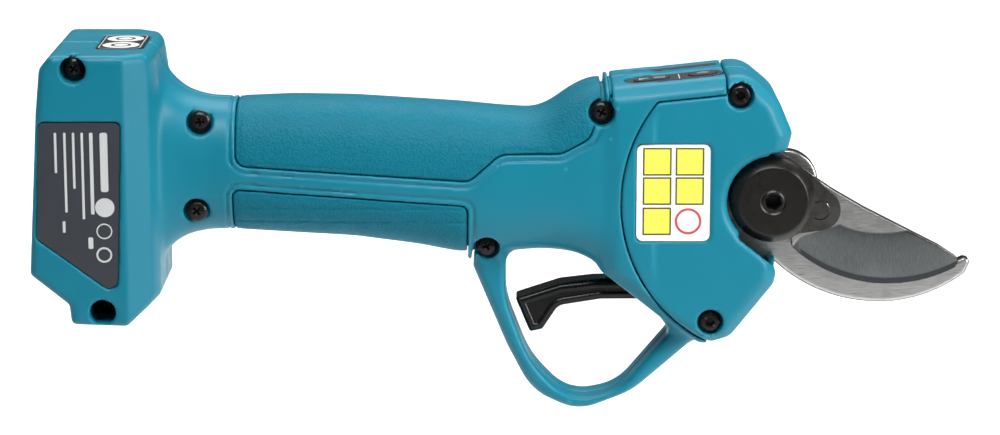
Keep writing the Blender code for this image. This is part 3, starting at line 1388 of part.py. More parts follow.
def housing(name, side, blank):
    """One half of the casing, with everything that it holds cut into it."""
    half = keep(half_space(name, side), blank)
    cut(half, grip_pocket(name + "_upper_pocket", upper_grip_corners()))
    cut(half, grip_pocket(name + "_lower_pocket", lower_grip_corners()))
    cut(half, housing_hollow(name), cover_zone(name + "_cover_zone", GAP / 2), drive_bore(name))
    cut(half, *bay_cutters(name), *screw_cutters(name, screw_places()), trigger_slot(name))
    cut(half, *roof_cutters(name))
    if side < 0:
        plate_y = -CRADLE_HALF_WIDTH
        cut(half, rating_plate(GAP, -FAR, plate_y + 1.1 * MM, name + "_plate_recess"))
    cut(half, plan(name + "_label_recess", rounded_rectangle(*ROOF_LABEL, grow=GAP),
                   CRADLE_ROOF_Z - LABEL_THICKNESS - GAP, FAR))
    part(half, name, CASING)


def blade_slot(name, side):
    """Room for the lever, the blades and their swing between the two covers."""
    centre = (SEAT_TO_PIVOT, 0)
    sweep = LUG_REACH + LUG_RADIUS - 2 * MM
    return [rod_y(name + "_blade_sweep", sweep, centre, LEVER_NEAR_Y - GAP, HOOK_FAR_Y + GAP, sides=40),
            box(name + "_hook_room", (*pivot_at(-20), HOOK_NEAR_Y - GAP, -28 * MM),
                (*pivot_at(12), HOOK_FAR_Y + GAP, -8 * MM))]


def pivot_at(x):
    return (SEAT_TO_PIVOT + x * MM,)


def cap_notch(name):
    """Opening in the near cover round the pivot cap, running out to the blades."""
    floor = LEVER_NEAR_Y - GAP / 2
    round_part = rod_y(name + "_notch", NOTCH_RADIUS, (SEAT_TO_PIVOT, 0), -FAR, floor, sides=48)
    mouth = [(-8.7, -10.4), (1.9, -19.9), (25, -19.9), (25, 13.2), (0, 13.2)]
    outline = [pivot_side(x, z) for x, z in mouth]
    return [round_part, slab(name + "_mouth", [outline], -FAR, floor)]


def head_cover(name, side, blank):
    """One side of the head, in front of the curved seam."""
    half = keep(half_space(name, side), blank, cover_zone(name + "_zone", -GAP / 2))
    pivot = (SEAT_TO_PIVOT, 0)
    hollow = head_block(name + "_hollow", -WALL, 0)
    cut(hollow, *screw_posts(name, cover_screw_places()))
    if side < 0:
        collar_radius = NOTCH_RADIUS + 2 * MM
        cut(hollow, rod_y(name + "_collar", collar_radius, pivot, -FAR, LEVER_NEAR_Y - GAP, sides=48))
    else:
        boss = rod_y(name + "_pivot_boss", HUB_RADIUS + 2 * MM, pivot, HOOK_FAR_Y + GAP, FAR)
        tail = pivot_side(*HOOK_TAIL_SCREW)
        cut(hollow, boss, rod_y(name + "_tail_boss", 4.5 * MM, tail, HOOK_FAR_Y + GAP, FAR, sides=24))
    pin_boss = sorted((side * (TRIGGER_HALF_WIDTH + 3.2 * MM), side * FAR))
    boss_radius = TRIGGER_PIN_RADIUS + GAP + 1.3 * MM
    cut(hollow, rod_y(name + "_pin_boss", boss_radius, TRIGGER_PIVOT, *pin_boss, sides=20))
    cut(half, hollow)
    cut(half, *blade_slot(name, side), *screw_cutters(name, cover_screw_places()), trigger_slot(name))
    cut(half, *roof_cutters(name))
    pin_end, pin_bore = 13 * MM + GAP, TRIGGER_PIN_RADIUS + GAP
    cut(half, rod_y(name + "_pin_bore", pin_bore, TRIGGER_PIVOT, -pin_end, pin_end, sides=20))
    if side < 0:
        cut(half, *cap_notch(name))
        cut(half, safety_label(GAP, -FAR, -HEAD_HALF_WIDTH + LABEL_THICKNESS + GAP, name + "_label_recess"))
    else:
        cut(half, rod_y(name + "_bolt_bore", PIVOT_RADIUS + GAP, pivot, -FAR, FAR))
        pocket = NUT_ACROSS / math.sqrt(3) + 0.8 * MM
        cut(half, rod_y(name + "_nut_pocket", pocket, pivot, NUT_NEAR_Y - GAP, FAR))
        tail_end = 12 * MM + GAP
        cut(half, rod_y(name + "_tail_bore", 2 * MM + GAP, tail, -FAR, tail_end, sides=20))
    part(half, name, CASING)


def build():
    blank = casing_blank()
    for side, hand in ((-1, "left"), (1, "right")):
        housing("housing_" + hand, side, blank)
        head_cover("head_cover_" + hand, side, blank)
        grip_piece("grip_upper_" + hand, upper_grip_corners(), side)
        grip_piece("grip_lower_" + hand, lower_grip_corners(), side)
    moving_blade()
    hook_blade()
    drive_lever()
    pivot_bolt()
    pivot_hardware()
    drive_pieces()
    motor()
    trigger()
    trigger_spring()
    terminal_block()
    controller_board()
    motor_leads()
    control_panel()
    labels()
    casing_screws()
    cover_screws()


build()
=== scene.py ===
"""A battery pruner's looks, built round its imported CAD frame."""

import math

import bmesh
import bpy
import numpy as np
from mathutils import Matrix, Vector


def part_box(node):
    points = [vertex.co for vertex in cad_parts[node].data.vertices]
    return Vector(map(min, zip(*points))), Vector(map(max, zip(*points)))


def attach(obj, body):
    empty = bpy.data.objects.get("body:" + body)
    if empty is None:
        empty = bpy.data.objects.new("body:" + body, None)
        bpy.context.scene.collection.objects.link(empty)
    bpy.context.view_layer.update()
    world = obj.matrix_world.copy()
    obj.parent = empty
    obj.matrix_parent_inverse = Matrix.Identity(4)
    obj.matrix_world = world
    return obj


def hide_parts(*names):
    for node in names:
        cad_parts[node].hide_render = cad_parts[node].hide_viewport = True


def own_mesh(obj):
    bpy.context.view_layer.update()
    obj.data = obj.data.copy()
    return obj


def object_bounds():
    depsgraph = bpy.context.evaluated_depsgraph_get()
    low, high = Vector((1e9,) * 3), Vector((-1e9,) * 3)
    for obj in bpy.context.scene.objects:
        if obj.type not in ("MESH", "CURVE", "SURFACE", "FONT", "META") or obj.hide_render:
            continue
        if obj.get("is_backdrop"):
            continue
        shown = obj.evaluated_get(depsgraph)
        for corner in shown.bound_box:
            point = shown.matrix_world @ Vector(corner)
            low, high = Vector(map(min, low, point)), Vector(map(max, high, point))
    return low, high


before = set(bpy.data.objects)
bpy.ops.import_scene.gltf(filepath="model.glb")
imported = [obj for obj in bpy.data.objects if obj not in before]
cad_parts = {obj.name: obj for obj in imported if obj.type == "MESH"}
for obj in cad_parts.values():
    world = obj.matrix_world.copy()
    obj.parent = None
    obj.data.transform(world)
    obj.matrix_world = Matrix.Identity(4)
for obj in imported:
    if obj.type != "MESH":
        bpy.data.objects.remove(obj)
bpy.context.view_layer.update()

MM = 0.001
CELL = 0.5  # mm, of the grids that the moulded pieces are shaped on
FINE_CELL = 0.25
GAP = 0.3

# ---------------------------------------------------------------- places, in millimetres


def low_high(node):
    low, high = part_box(node)
    return np.array(low) / MM, np.array(high) / MM


def centre_of(node):
    low, high = low_high(node)
    return (low + high) / 2


PIVOT = centre_of("pivot_bush")[0]
BLADE_LOW, BLADE_HIGH = low_high("moving_blade")
HOOK_LOW, HOOK_HIGH = low_high("hook_blade")
LEVER_NEAR_Y = BLADE_LOW[1] - GAP - 3.2
CRADLE_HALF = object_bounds()[1][1] / MM
HANDLE_HALF = 18.5
HEAD_HALF = 19.0
GUARD_HALF = 8.0
WALL = 2.4
GRIP_THICKNESS = 1.5
SEAM = (PIVOT + 2.9, 0.0, 47.5)
TONGUE = ((-60, 27), (-14.1, 31.8), (-14.1, 60), (-60, 60))
DRIVE_TILT = math.radians(3.4)
DRIVE_RADIUS = 13.4
MOTOR_REAR = 123.1
TRIGGER_PIVOT = (PIVOT - 31.6, -26.5)
ROOF_SLOPE = math.atan2(4.5, 42)
ROOF_POINT = (PIVOT - 29, 35.4)

# Cross-sections of the neck and handle: x, top, bottom, half width as a share, squareness
REAR_SECTIONS = (
    (15, 41.5, -22.0, 1.05, 5.0),
    (19.5, 39.5, -20.5, 1.02, 4.0),
    (23, 34.5, -15.6, 0.95, 3.2),
    (28, 30.4, -12.3, 0.91, 2.8),
    (35, 28.4, -10.9, 0.89, 2.6),
    (43, 28.2, -10.9, 0.93, 2.5),
    (60, 28.9, -11.9, 0.98, 2.5),
)
FRONT_SECTIONS = (
    (-123, 28.6, -12.9, 0.99, 2.5),
    (-104, 27.4, -15.4, 1.0, 2.5),
    (-92, 26.6, -17.7, 1.0, 2.6),
    (-80, 25.4, -17.8, 1.0, 2.6),
    (-70, 24.7, -16.4, 1.0, 2.7),
    (-65, 26.6, -16.4, 1.0, 2.8),
    (-60, 30.4, -16.9, 1.0, 3.1),
    (-54, 33.3, -18.6, 1.01, 3.6),
    (-47, 33.6, -23.6, 1.02, 4.5),
    (-37, 34.4, -29.4, 1.02, 5.0),
)
# Side outlines as corners: x, z, radius. The cradle's start at the battery seat, the others at the pivot.
CRADLE_CORNERS = (
    (-8.5, 44.6, 2.5),
    (19.8, 44.6, 3.5),
    (21.4, 36.0, 0),
    (21.4, -27.4, 2),
    (12.0, -35.3, 1.5),
    (-4.2, -34.7, 1.5),
    (-4.8, -28.8, 1.5),
    (-15.9, -19.8, 1.5),
    (-13.0, 28.0, 0),
    (-11.7, 40.6, 3),
)
CRADLE_PLAN = ((-30, 1.0), (12.5, 1.0), (19.2, 0.79), (22.4, 0.6))
HEAD_CORNERS = (
    (-50, 33.2, 0),
    (-8, 37.7, 9),
    (1.2, 30.0, 10),
    (5.4, 20.0, 2),
    (4.2, 15.2, 3),
    (1.7, -19.7, 0),
    (0.7, -25.0, 3),
    (-12.0, -41.1, 6),
    (-20.4, -43.5, 4.5),
    (-27, -39.6, 0),
    (-31.6, -36.2, 0),
    (-50, -21.4, 0),
)
GUARD_OUTER = (
    (-95, -6.0, 0),
    (-91.4, -13.5, 0),
    (-86.8, -24.5, 25),
    (-77.8, -46.0, 30),
    (-70.4, -60.2, 18),
    (-56.5, -66.5, 14),
    (-40.5, -60.3, 26),
    (-19, -41.5, 0),
    (-24, -6.0, 0),
)
GUARD_INNER = (
    (-78.1, -14.0, 0),
    (-78.1, -32.0, 24),
    (-70.8, -51.0, 30),
    (-59, -63.2, 14),
    (-44.5, -59.8, 16),
    (-29.2, -41.6, 3),
    (-32.4, -35.4, 0),
    (-46, -24.0, 0),
    (-52, -14.0, 0),
)
TRIGGER_CORNERS = (
    (-75.4, -31.8, 0.8),
    (-71.0, -42.4, 0.8),
    (-67.2, -41.6, 1.5),
    (-62.5, -34.4, 4),
    (-50, -32.4, 0),
    (-33, -32.3, 0),
    (-26.6, -31.0, 1),
    (-26.6, -22.0, 1),
    (-33, -21.6, 1),
    (-40, -26.0, 4),
    (-52, -26.2, 4),
    (-62, -27.4, 6),
)
GRIP_REAR_X = 43.6
UPPER_GRIP = (
    (GRIP_REAR_X, 60, 0),
    (GRIP_REAR_X, 10.6, 3),
    (PIVOT - 89, 6.2, 4),
    (PIVOT - 80, 14.0, 6),
    (PIVOT - 62, 14.4, 6),
    (PIVOT - 54, 18.8, 4),
    (PIVOT - 49.6, 30, 0),
    (PIVOT - 49.4, 60, 0),
)
LOWER_GRIP = (
    (GRIP_REAR_X - 1, 3.4, 2),
    (PIVOT - 89.5, -1.4, 2),
    (PIVOT - 89.5, -16.6, 0),
    (PIVOT - 96, -60, 0),
    (GRIP_REAR_X - 1, -60, 0),
)
SCREW_HEAD = 3.25
RECESS = SCREW_HEAD + 0.6

# ---------------------------------------------------------------- outlines


def rounded(corners, steps=6):
    """The outline with each corner replaced by an arc of its radius."""
    outline = []
    count = len(corners)
    for i, (x, z, radius) in enumerate(corners):
        here = np.array((x, z), float)
        before = np.array(corners[i - 1][:2], float) - here
        after = np.array(corners[(i + 1) % count][:2], float) - here
        if radius <= 0:
            outline.append(here)
            continue
        before_length, after_length = np.linalg.norm(before), np.linalg.norm(after)
        before, after = before / before_length, after / after_length
        half = math.acos(np.clip(before @ after, -1, 1)) / 2
        reach = min(radius / math.tan(half), before_length / 2.05, after_length / 2.05)
        radius = reach * math.tan(half)
        bisector = (before + after) / np.linalg.norm(before + after)
        centre = here + bisector * radius / math.sin(half)
        start, end = here + before * reach - centre, here + after * reach - centre
        first = math.atan2(start[1], start[0])
        turn = (math.atan2(end[1], end[0]) - first + math.pi) % math.tau - math.pi
        for k in range(steps + 1):
            angle = first + turn * k / steps
            outline.append(centre + radius * np.array((math.cos(angle), math.sin(angle))))
    return [tuple(p) for p in outline]


def from_pivot(corners):
    return [(x + PIVOT, z, *rest) for x, z, *rest in corners]


def arc_through(first, middle, last, steps):
    """Points on the circle through three points."""
    a, b, c = (np.array(p, float) for p in (first, middle, last))
    ab, ac = b - a, c - a
    twice = 2 * (ab[0] * ac[1] - ab[1] * ac[0])
    across = ac[1] * (ab @ ab) - ab[1] * (ac @ ac)
    up = ab[0] * (ac @ ac) - ac[0] * (ab @ ab)
    centre = a + np.array((across, up)) / twice
    radius = np.linalg.norm(a - centre)
    start = math.atan2(*(a - centre)[::-1])
    turn = (math.atan2(*(c - centre)[::-1]) - start) % math.tau
    if twice < 0:
        turn -= math.tau
    angles = [start + turn * i / steps for i in range(steps + 1)]
    return [(centre[0] + radius * math.cos(t), centre[1] + radius * math.sin(t)) for t in angles]


def rectangle(x, z, width, height, radius):
    w, h = width / 2, height / 2
    corners = ((x - w, z - h), (x + w, z - h), (x + w, z + h), (x - w, z + h))
    return rounded([(*corner, radius) for corner in corners])


# ---------------------------------------------------------------- distance fields


class Grid:
    """Points of a regular grid, and the distance fields on it. Distances are negative inside."""

    def __init__(self, low, high, cell):
        self.low, self.cell = np.array(low, float), cell
        counts = [int((b - a) / cell) + 2 for a, b in zip(low, high)]
        axes = [np.float32(a) + np.arange(n, dtype=np.float32) * cell for a, n in zip(low, counts)]
        self.x, self.y, self.z = np.meshgrid(*axes, indexing="ij", sparse=True)

    def outline(self, points, first, second):
        """Signed distance to a closed outline in the plane of two of the grid's axes."""
        distance = np.float32(1e6)
        inside = np.zeros(np.broadcast(first, second).shape, bool)
        for (ax, az), (bx, bz) in zip(points, points[1:] + points[:1]):
            ex, ez = bx - ax, bz - az
            wx, wz = first - ax, second - az
            share = np.clip((wx * ex + wz * ez) / max(ex * ex + ez * ez, 1e-12), 0, 1)
            distance = np.minimum(distance, (wx - ex * share) ** 2 + (wz - ez * share) ** 2)
            if az != bz:
                crosses = (second >= min(az, bz)) & (second < max(az, bz))
                inside ^= crosses & (first < ax + ex * (second - az) / ez)
        return np.where(inside, -1, 1).astype(np.float32) * np.sqrt(distance, dtype=np.float32)

    def side(self, points):
        return self.outline(points, self.x, self.z)

    def plan(self, points):
        return self.outline(points, self.x, self.y)

    def disc(self, x, z, radius):
        return np.sqrt((self.x - x) ** 2 + (self.z - z) ** 2) - radius

    def box(self, low, high):
        return np.maximum.reduce([
            np.maximum(low[0] - self.x, self.x - high[0]) + self.y * 0 + self.z * 0,
            np.maximum(low[1] - self.y, self.y - high[1]) + self.x * 0 + self.z * 0,
            np.maximum(low[2] - self.z, self.z - high[2]) + self.x * 0 + self.y * 0,
        ])

    def slab(self, flat, low_y, high_y):
        return np.maximum(flat, np.maximum(low_y - self.y, self.y - high_y))


def soft_corner(a, b, radius):
    """Intersection of two fields with the edge between them rounded."""
    a, b = a + radius, b + radius
    return np.hypot(np.maximum(a, 0), np.maximum(b, 0)) + np.minimum(np.maximum(a, b), 0) - radius


def bevelled(a, b, size, radius):
    """Intersection of two fields with a flat bevel between them, softened on both its edges."""
    both = soft_corner(a, b, radius)
    return soft_corner(both, (a + b + size) * math.sqrt(0.5), radius)


def soft_join(a, b, reach):
    """Union of two fields with a fillet."""
    near = np.maximum(reach - np.abs(a - b), 0) / reach
    return np.minimum(a, b) - near * near * reach / 4


def without(a, *others):
    for other in others:
        a = np.maximum(a, -other)
    return a


def smooth_profile(x, places, values, spread=2.0):
    """Values along x, interpolated and then smoothed so that no crease shows."""
    fine = np.arange(places[0] - 12, places[-1] + 12, 0.25)
    kernel = np.exp(-0.5 * (np.arange(-6 * spread, 6 * spread + 0.25, 0.25) / spread) ** 2)
    line = np.interp(fine, places, values)
    line = np.convolve(np.pad(line, len(kernel) // 2, mode="edge"), kernel / kernel.sum(), "valid")
    return np.interp(x, fine, line[: len(fine)]).astype(np.float32)


def handle_field(grid):
    """The neck and handle: superellipses that change along X."""
    rows = [*REAR_SECTIONS, *((PIVOT + x, *rest) for x, *rest in FRONT_SECTIONS)]
    x, top, bottom, share, squareness = (smooth_profile(grid.x, [r[0] for r in rows], [r[i] for r in rows])
                                         for i in range(5))
    half = (top - bottom) / 2
    across = np.abs(grid.y) / (HANDLE_HALF * share)
    up = np.abs(grid.z - (top + bottom) / 2) / half
    field = (across ** squareness + up ** squareness + 1e-9) ** (1 / squareness) - 1
    slopes = np.gradient(field, grid.cell)
    field /= np.sqrt(sum(s * s for s in slopes)) + 1e-4
    return np.clip(field, -30, 30)


def ends(grid, start, end):
    return np.maximum(start - grid.x, grid.x - end)


def cradle_field(grid):
    side = grid.side(rounded(CRADLE_CORNERS))
    half_plan = [(x, -CRADLE_HALF * share) for x, share in CRADLE_PLAN]
    plan = grid.plan(half_plan + [(x, -y) for x, y in reversed(half_plan)])
    return soft_corner(side, plan, 2.2)


def head_field(grid):
    side = grid.side(rounded(from_pivot(HEAD_CORNERS)))
    return bevelled(side, np.abs(grid.y) - HEAD_HALF, 3.6, 0.9)


def guard_field(grid):
    side = grid.side(rounded(from_pivot(GUARD_OUTER)))
    hole = grid.side(rounded(from_pivot(GUARD_INNER)))
    flat = np.abs(grid.y) - GUARD_HALF
    return soft_corner(soft_corner(side, flat, 3.4), -hole, 2.0), hole


def drive_point(distance):
    return PIVOT - distance * math.cos(DRIVE_TILT), distance * math.sin(DRIVE_TILT)


def drive_bore(grid, radius, rear, front):
    along = (grid.x - PIVOT) * math.cos(DRIVE_TILT) - grid.z * math.sin(DRIVE_TILT)
    off = (grid.x - PIVOT) * math.sin(DRIVE_TILT) + grid.z * math.cos(DRIVE_TILT)
    return np.maximum(np.sqrt(off ** 2 + grid.y ** 2) - radius, np.maximum(-rear - along, along + front))


def roof_slab(grid, centre, width, height, radius, depth):
    """A recess sunk in the head's sloping roof."""
    along = (grid.x - ROOF_POINT[0]) * math.cos(ROOF_SLOPE) + (grid.z - ROOF_POINT[1]) * math.sin(ROOF_SLOPE)
    out = (grid.z - ROOF_POINT[1]) * math.cos(ROOF_SLOPE) - (grid.x - ROOF_POINT[0]) * math.sin(ROOF_SLOPE)
    across = np.maximum(np.abs(along - centre[0]) - width / 2 + radius, 0)
    beside = np.maximum(np.abs(grid.y - centre[1]) - height / 2 + radius, 0)
    return np.maximum(np.hypot(across, beside) - radius, -depth - out)


# ---------------------------------------------------------------- meshes from fields

CORNERS = [(i, j, k) for i in (0, 1) for j in (0, 1) for k in (0, 1)]
EDGES = [(a, b) for a in range(8) for b in range(a + 1, 8)
         if sum(abs(p - q) for p, q in zip(CORNERS[a], CORNERS[b])) == 1]


def surface(grid, field):
    """Points and four-sided faces of the field's zero surface, one point to a cell."""
    field = np.pad(field.astype(np.float32), 1, constant_values=grid.cell * 2)
    inside = field < 0
    count = sum(inside[i:inside.shape[0] - 1 + i, j:inside.shape[1] - 1 + j, k:inside.shape[2] - 1 + k]
                .astype(np.int8) for i, j, k in CORNERS)
    cells = np.argwhere((count > 0) & (count < 8))
    values = np.stack([field[tuple((cells + corner).T)] for corner in CORNERS], axis=1)
    total, crossings = np.zeros((len(cells), 3)), np.zeros(len(cells))
    for a, b in EDGES:
        first, second = values[:, a], values[:, b]
        cut = (first < 0) != (second < 0)
        share = np.where(cut, first / np.where(cut, first - second, 1), 0)[:, None]
        place = np.array(CORNERS[a]) * (1 - share) + np.array(CORNERS[b]) * share
        total += place * cut[:, None]
        crossings += cut
    points = (cells + total / crossings[:, None] - 1) * grid.cell + grid.low
    index = np.full(count.shape, -1, np.int32)
    index[tuple(cells.T)] = np.arange(len(cells))
    faces = [quads_across(inside, index, axis) for axis in range(3)]
    return points, np.concatenate(faces)


def quads_across(inside, index, axis):
    """The faces that cross the grid's lines along one axis."""
    inside, index = (np.moveaxis(a, axis, 0) for a in (inside, index))
    here, after = inside[:-1, 1:-1, 1:-1], inside[1:, 1:-1, 1:-1]
    i, j, k = np.nonzero(here != after)
    way = here[i, j, k]
    ring = np.stack([index[i, j, k], index[i, j + 1, k], index[i, j + 1, k + 1], index[i, j, k + 1]], axis=1)
    flip = way if axis != 1 else ~way
    return np.where(flip[:, None], ring, ring[:, ::-1])


def relaxed(points, faces, rounds=2, share=0.5):
    """Each point moved towards its neighbours' middle, which takes the grid's steps out."""
    starts, stops = faces.ravel(), np.roll(faces, -1, axis=1).ravel()
    a, b = np.concatenate([starts, stops]), np.concatenate([stops, starts])
    degree = np.maximum(np.bincount(a, minlength=len(points)), 1)[:, None]
    for _ in range(rounds):
        sums = [np.bincount(a, weights=points[b, i], minlength=len(points)) for i in range(3)]
        middle = np.stack(sums, axis=1)
        points = points + (middle / degree - points) * share
    return points


def mesh_from(name, points, faces):
    mesh = bpy.data.meshes.new(name)
    mesh.vertices.add(len(points))
    mesh.vertices.foreach_set("co", (points * MM).astype(np.float32).ravel())
    mesh.loops.add(faces.size)
    mesh.loops.foreach_set("vertex_index", faces.astype(np.int32).ravel())
    mesh.polygons.add(len(faces))
    mesh.polygons.foreach_set("loop_start", np.arange(0, faces.size, faces.shape[1], dtype=np.int32))
    mesh.update(calc_edges=True)
    mesh.shade_smooth()
    return mesh


def without_crumbs(points, faces):
    """Only the largest connected piece, as a thin leftover isn't part of a moulding."""
    label = np.arange(len(points))
    while True:
        low = label[faces].min(axis=1)
        new = label.copy()
        for i in range(4):
            np.minimum.at(new, faces[:, i], low)
        new = new[new]
        if (new == label).all():
            break
        label = new
    kept = label == np.bincount(label).argmax()
    faces = faces[kept[faces[:, 0]]]
    order = np.cumsum(kept) - 1
    return points[kept], order[faces]


def moulded(name, grid, field, body, look, *nodes, slot=None, mirror=False, rounds=2):
    """A piece from a distance field. It stands for the CAD nodes named."""
    points, faces = without_crumbs(*surface(grid, field))
    points = relaxed(points, faces, rounds)
    if mirror:
        points = points * (1, -1, 1)
        faces = faces[:, ::-1]
    return placed(bpy.data.objects.new(name, mesh_from(name, points, faces)), body, look, *nodes, slot=slot)


def placed(made, body, look, *nodes, slot=None):
    if made.name not in bpy.context.scene.collection.objects:
        bpy.context.scene.collection.objects.link(made)
    made.data.materials.clear()
    made.data.materials.append(look)
    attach(made, body)
    if nodes:
        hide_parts(*nodes)
    return made


# ---------------------------------------------------------------- materials


class Look:
    """A material with the nodes that most of the looks share."""

    def __init__(self, name):
        self.material = bpy.data.materials.new(name)
        self.material.use_nodes = True
        self.nodes, self.links = self.material.node_tree.nodes, self.material.node_tree.links
        self.shader = self.nodes["Principled BSDF"]
        self.where = self.add("ShaderNodeTexCoord").outputs["Object"]

    def add(self, kind, **values):
        node = self.nodes.new(kind)
        for key, value in values.items():
            setattr(node, key, value)
        return node

    def set(self, **values):
        for key, value in values.items():
            self.shader.inputs[key.replace("_", " ")].default_value = value

    def noise(self, scale, detail=3.0, stretch=None):
        node = self.add("ShaderNodeTexNoise")
        node.inputs["Scale"].default_value = scale
        node.inputs["Detail"].default_value = detail
        source = self.where
        if stretch:
            mapping = self.add("ShaderNodeMapping")
            mapping.inputs["Scale"].default_value = stretch
            self.links.new(self.where, mapping.inputs["Vector"])
            source = mapping.outputs["Vector"]
        self.links.new(source, node.inputs["Vector"])
        return node.outputs["Fac"]

    def cells(self, scale):
        node = self.add("ShaderNodeTexVoronoi", feature="SMOOTH_F1")
        node.inputs["Scale"].default_value = scale
        node.inputs["Smoothness"].default_value = 0.6
        self.links.new(self.where, node.inputs["Vector"])
        return node.outputs["Distance"]

    def range(self, source, low, high, to_low, to_high):
        node = self.add("ShaderNodeMapRange")
        for key, value in zip(("From Min", "From Max", "To Min", "To Max"), (low, high, to_low, to_high)):
            node.inputs[key].default_value = value
        self.links.new(source, node.inputs["Value"])
        return node.outputs["Result"]

    def mixed(self, share, first, second):
        node = self.add("ShaderNodeMix", data_type="RGBA")
        self.links.new(share, node.inputs["Factor"])
        for key, value in (("A", first), ("B", second)):
            socket = [s for s in node.inputs if s.name == key and s.type == "RGBA"][0]
            if isinstance(value, tuple):
                socket.default_value = (*value, 1)
            else:
                self.links.new(value, socket)
        return [s for s in node.outputs if s.type == "RGBA"][0]

    def edges(self, low=0.53, high=0.62):
        """How worn a place is: the edges that stand out."""
        return self.range(self.add("ShaderNodeNewGeometry").outputs["Pointiness"], low, high, 0, 1)

    def to(self, name, source):
        self.links.new(source, self.shader.inputs[name])

    def bump(self, source, strength, distance):
        node = self.add("ShaderNodeBump")
        node.inputs["Strength"].default_value = strength
        node.inputs["Distance"].default_value = distance
        self.links.new(source, node.inputs["Height"])
        self.to("Normal", node.outputs["Normal"])


def moulded_nylon():
    """Teal glass-filled nylon with a fine spark-eroded texture, rubbed a little on its edges."""
    look = Look("teal_nylon")
    base = look.mixed(look.noise(55), (0.0012, 0.158, 0.232), (0.0028, 0.182, 0.262))
    look.to("Base Color", look.mixed(look.edges(), base, (0.012, 0.25, 0.34)))
    look.to("Roughness", look.range(look.noise(240), 0.3, 0.7, 0.38, 0.47))
    look.bump(look.noise(2600, 2.0), 0.2, 0.00011)
    look.set(Specular_IOR_Level=0.32)
    return look.material


def elastomer():
    """Soft grip, pebbled all over, in almost the casing's colour."""
    look = Look("teal_elastomer")
    base = look.mixed(look.noise(70), (0.0010, 0.118, 0.176), (0.0020, 0.134, 0.196))
    pebbles = look.cells(1500)
    # painted light and shade: pebble tops are coloured lighter and the hollows between them darker
    look.to("Base Color", look.mixed(look.range(pebbles, 0.0, 0.75, 0, 1), (0.003, 0.155, 0.225), base))
    look.to("Roughness", look.range(look.noise(300), 0.3, 0.7, 0.48, 0.62))
    look.bump(look.range(pebbles, 0, 0.8, 1, 0), 0.5, 0.00022)
    look.set(Specular_IOR_Level=0.14)
    return look.material


def satin(name, dark, light, roughness, grain=1800, strength=0.12, metallic=0.0, worn=None, gloss=0.5):
    """A plain moulded, printed or blackened finish."""
    look = Look(name)
    base = look.mixed(look.noise(120), dark, light)
    if worn:
        base = look.mixed(look.edges(0.54, 0.66), base, worn)
    look.to("Base Color", base)
    look.set(Metallic=metallic, Specular_IOR_Level=gloss)
    look.to("Roughness", look.range(look.noise(380), 0.3, 0.7, roughness - 0.05, roughness + 0.07))
    look.bump(look.noise(grain, 2.0), strength, 0.00008)
    return look.material


def blade_steel():
    """Steel ground lengthwise. Attributes say where it is hollow-ground and honed, and the rim attribute
    says where its narrow sides get painted shade and dark reflection.
    """
    look = Look("ground_steel")
    lines = look.noise(1.0, 5.0, (240, 240, 4200))
    ground = look.mixed(look.range(lines, 0.3, 0.7, 0, 1), (0.46, 0.46, 0.45), (0.64, 0.64, 0.63))
    worn = look.mixed(look.range(look.noise(150), 0.58, 0.8, 0, 0.7), ground, (0.3, 0.3, 0.29))
    fine = look.noise(1.0, 4.0, (2600, 700, 500))
    polished = look.mixed(look.range(fine, 0.3, 0.7, 0, 1), (0.085, 0.092, 0.092), (0.115, 0.122, 0.122))
    clouded = look.mixed(look.range(look.noise(38, 1.0), 0.5, 0.75, 0, 0.8), polished, (0.17, 0.175, 0.175))
    shares = {name: look.add("ShaderNodeAttribute", attribute_name=name).outputs["Fac"]
              for name in ("grind", "hone", "rim")}
    colour = look.mixed(shares["grind"], worn, clouded)
    colour = look.mixed(shares["hone"], colour, (0.04, 0.045, 0.048))
    # rim: the narrow sides are painted dark, as painted shade and dark reflection
    look.to("Base Color", look.mixed(shares["rim"], colour, (0.045, 0.041, 0.037)))
    look.set(Metallic=1.0)
    rough = look.add("ShaderNodeMath", operation="SUBTRACT")
    look.links.new(look.range(lines, 0.25, 0.75, 0.24, 0.38), rough.inputs[0])
    look.links.new(look.range(shares["grind"], 0, 1, 0, 0.1), rough.inputs[1])
    look.to("Roughness", rough.outputs["Value"])
    look.bump(lines, 0.08, 0.00002)
    return look.material


def brushed(name, dark, light, roughness, stretch, strength=0.1):
    """Ground metal with its grinding lines along one way."""
    look = Look(name)
    lines = look.noise(1.0, 5.0, stretch)
    base = look.mixed(look.range(lines, 0.3, 0.7, 0, 1), dark, light)
    look.to("Base Color", look.mixed(look.range(look.noise(160), 0.62, 0.8, 0, 0.5), base, dark))
    look.set(Metallic=1.0)
    look.to("Roughness", look.range(lines, 0.25, 0.75, roughness - 0.07, roughness + 0.1))
    look.bump(lines, strength, 0.00003)
    return look.material


NYLON = moulded_nylon()
RUBBER = elastomer()
BLACK_NYLON = satin("black_nylon", (0.003, 0.003, 0.003), (0.005, 0.005, 0.005), 0.24,
                    worn=(0.012, 0.012, 0.012), gloss=0.3)
BLACK_OXIDE = satin("black_oxide", (0.009, 0.009, 0.009), (0.017, 0.016, 0.015), 0.24, 2400, 0.1, 0.5,
                    (0.06, 0.058, 0.055), 0.4)
BLUED = satin("blued_steel", (0.052, 0.048, 0.043), (0.078, 0.072, 0.065), 0.3, 1500, 0.12, 1.0,
              (0.2, 0.19, 0.18))
CAP_BLACK = satin("cap_black", (0.007, 0.006, 0.005), (0.011, 0.010, 0.009), 0.3, 1500, 0.14, 0.0,
                  (0.03, 0.028, 0.026), 0.3)
BLADE = blade_steel()
GEAR = brushed("machined_steel", (0.30, 0.29, 0.28), (0.42, 0.41, 0.40), 0.32, (2400, 300, 300))
BRASS = brushed("brass_sheet", (0.52, 0.34, 0.12), (0.66, 0.46, 0.19), 0.3, (300, 2400, 300))
ALUMINIUM = brushed("turned_aluminium", (0.50, 0.50, 0.51), (0.66, 0.66, 0.67), 0.33, (2400, 300, 300))
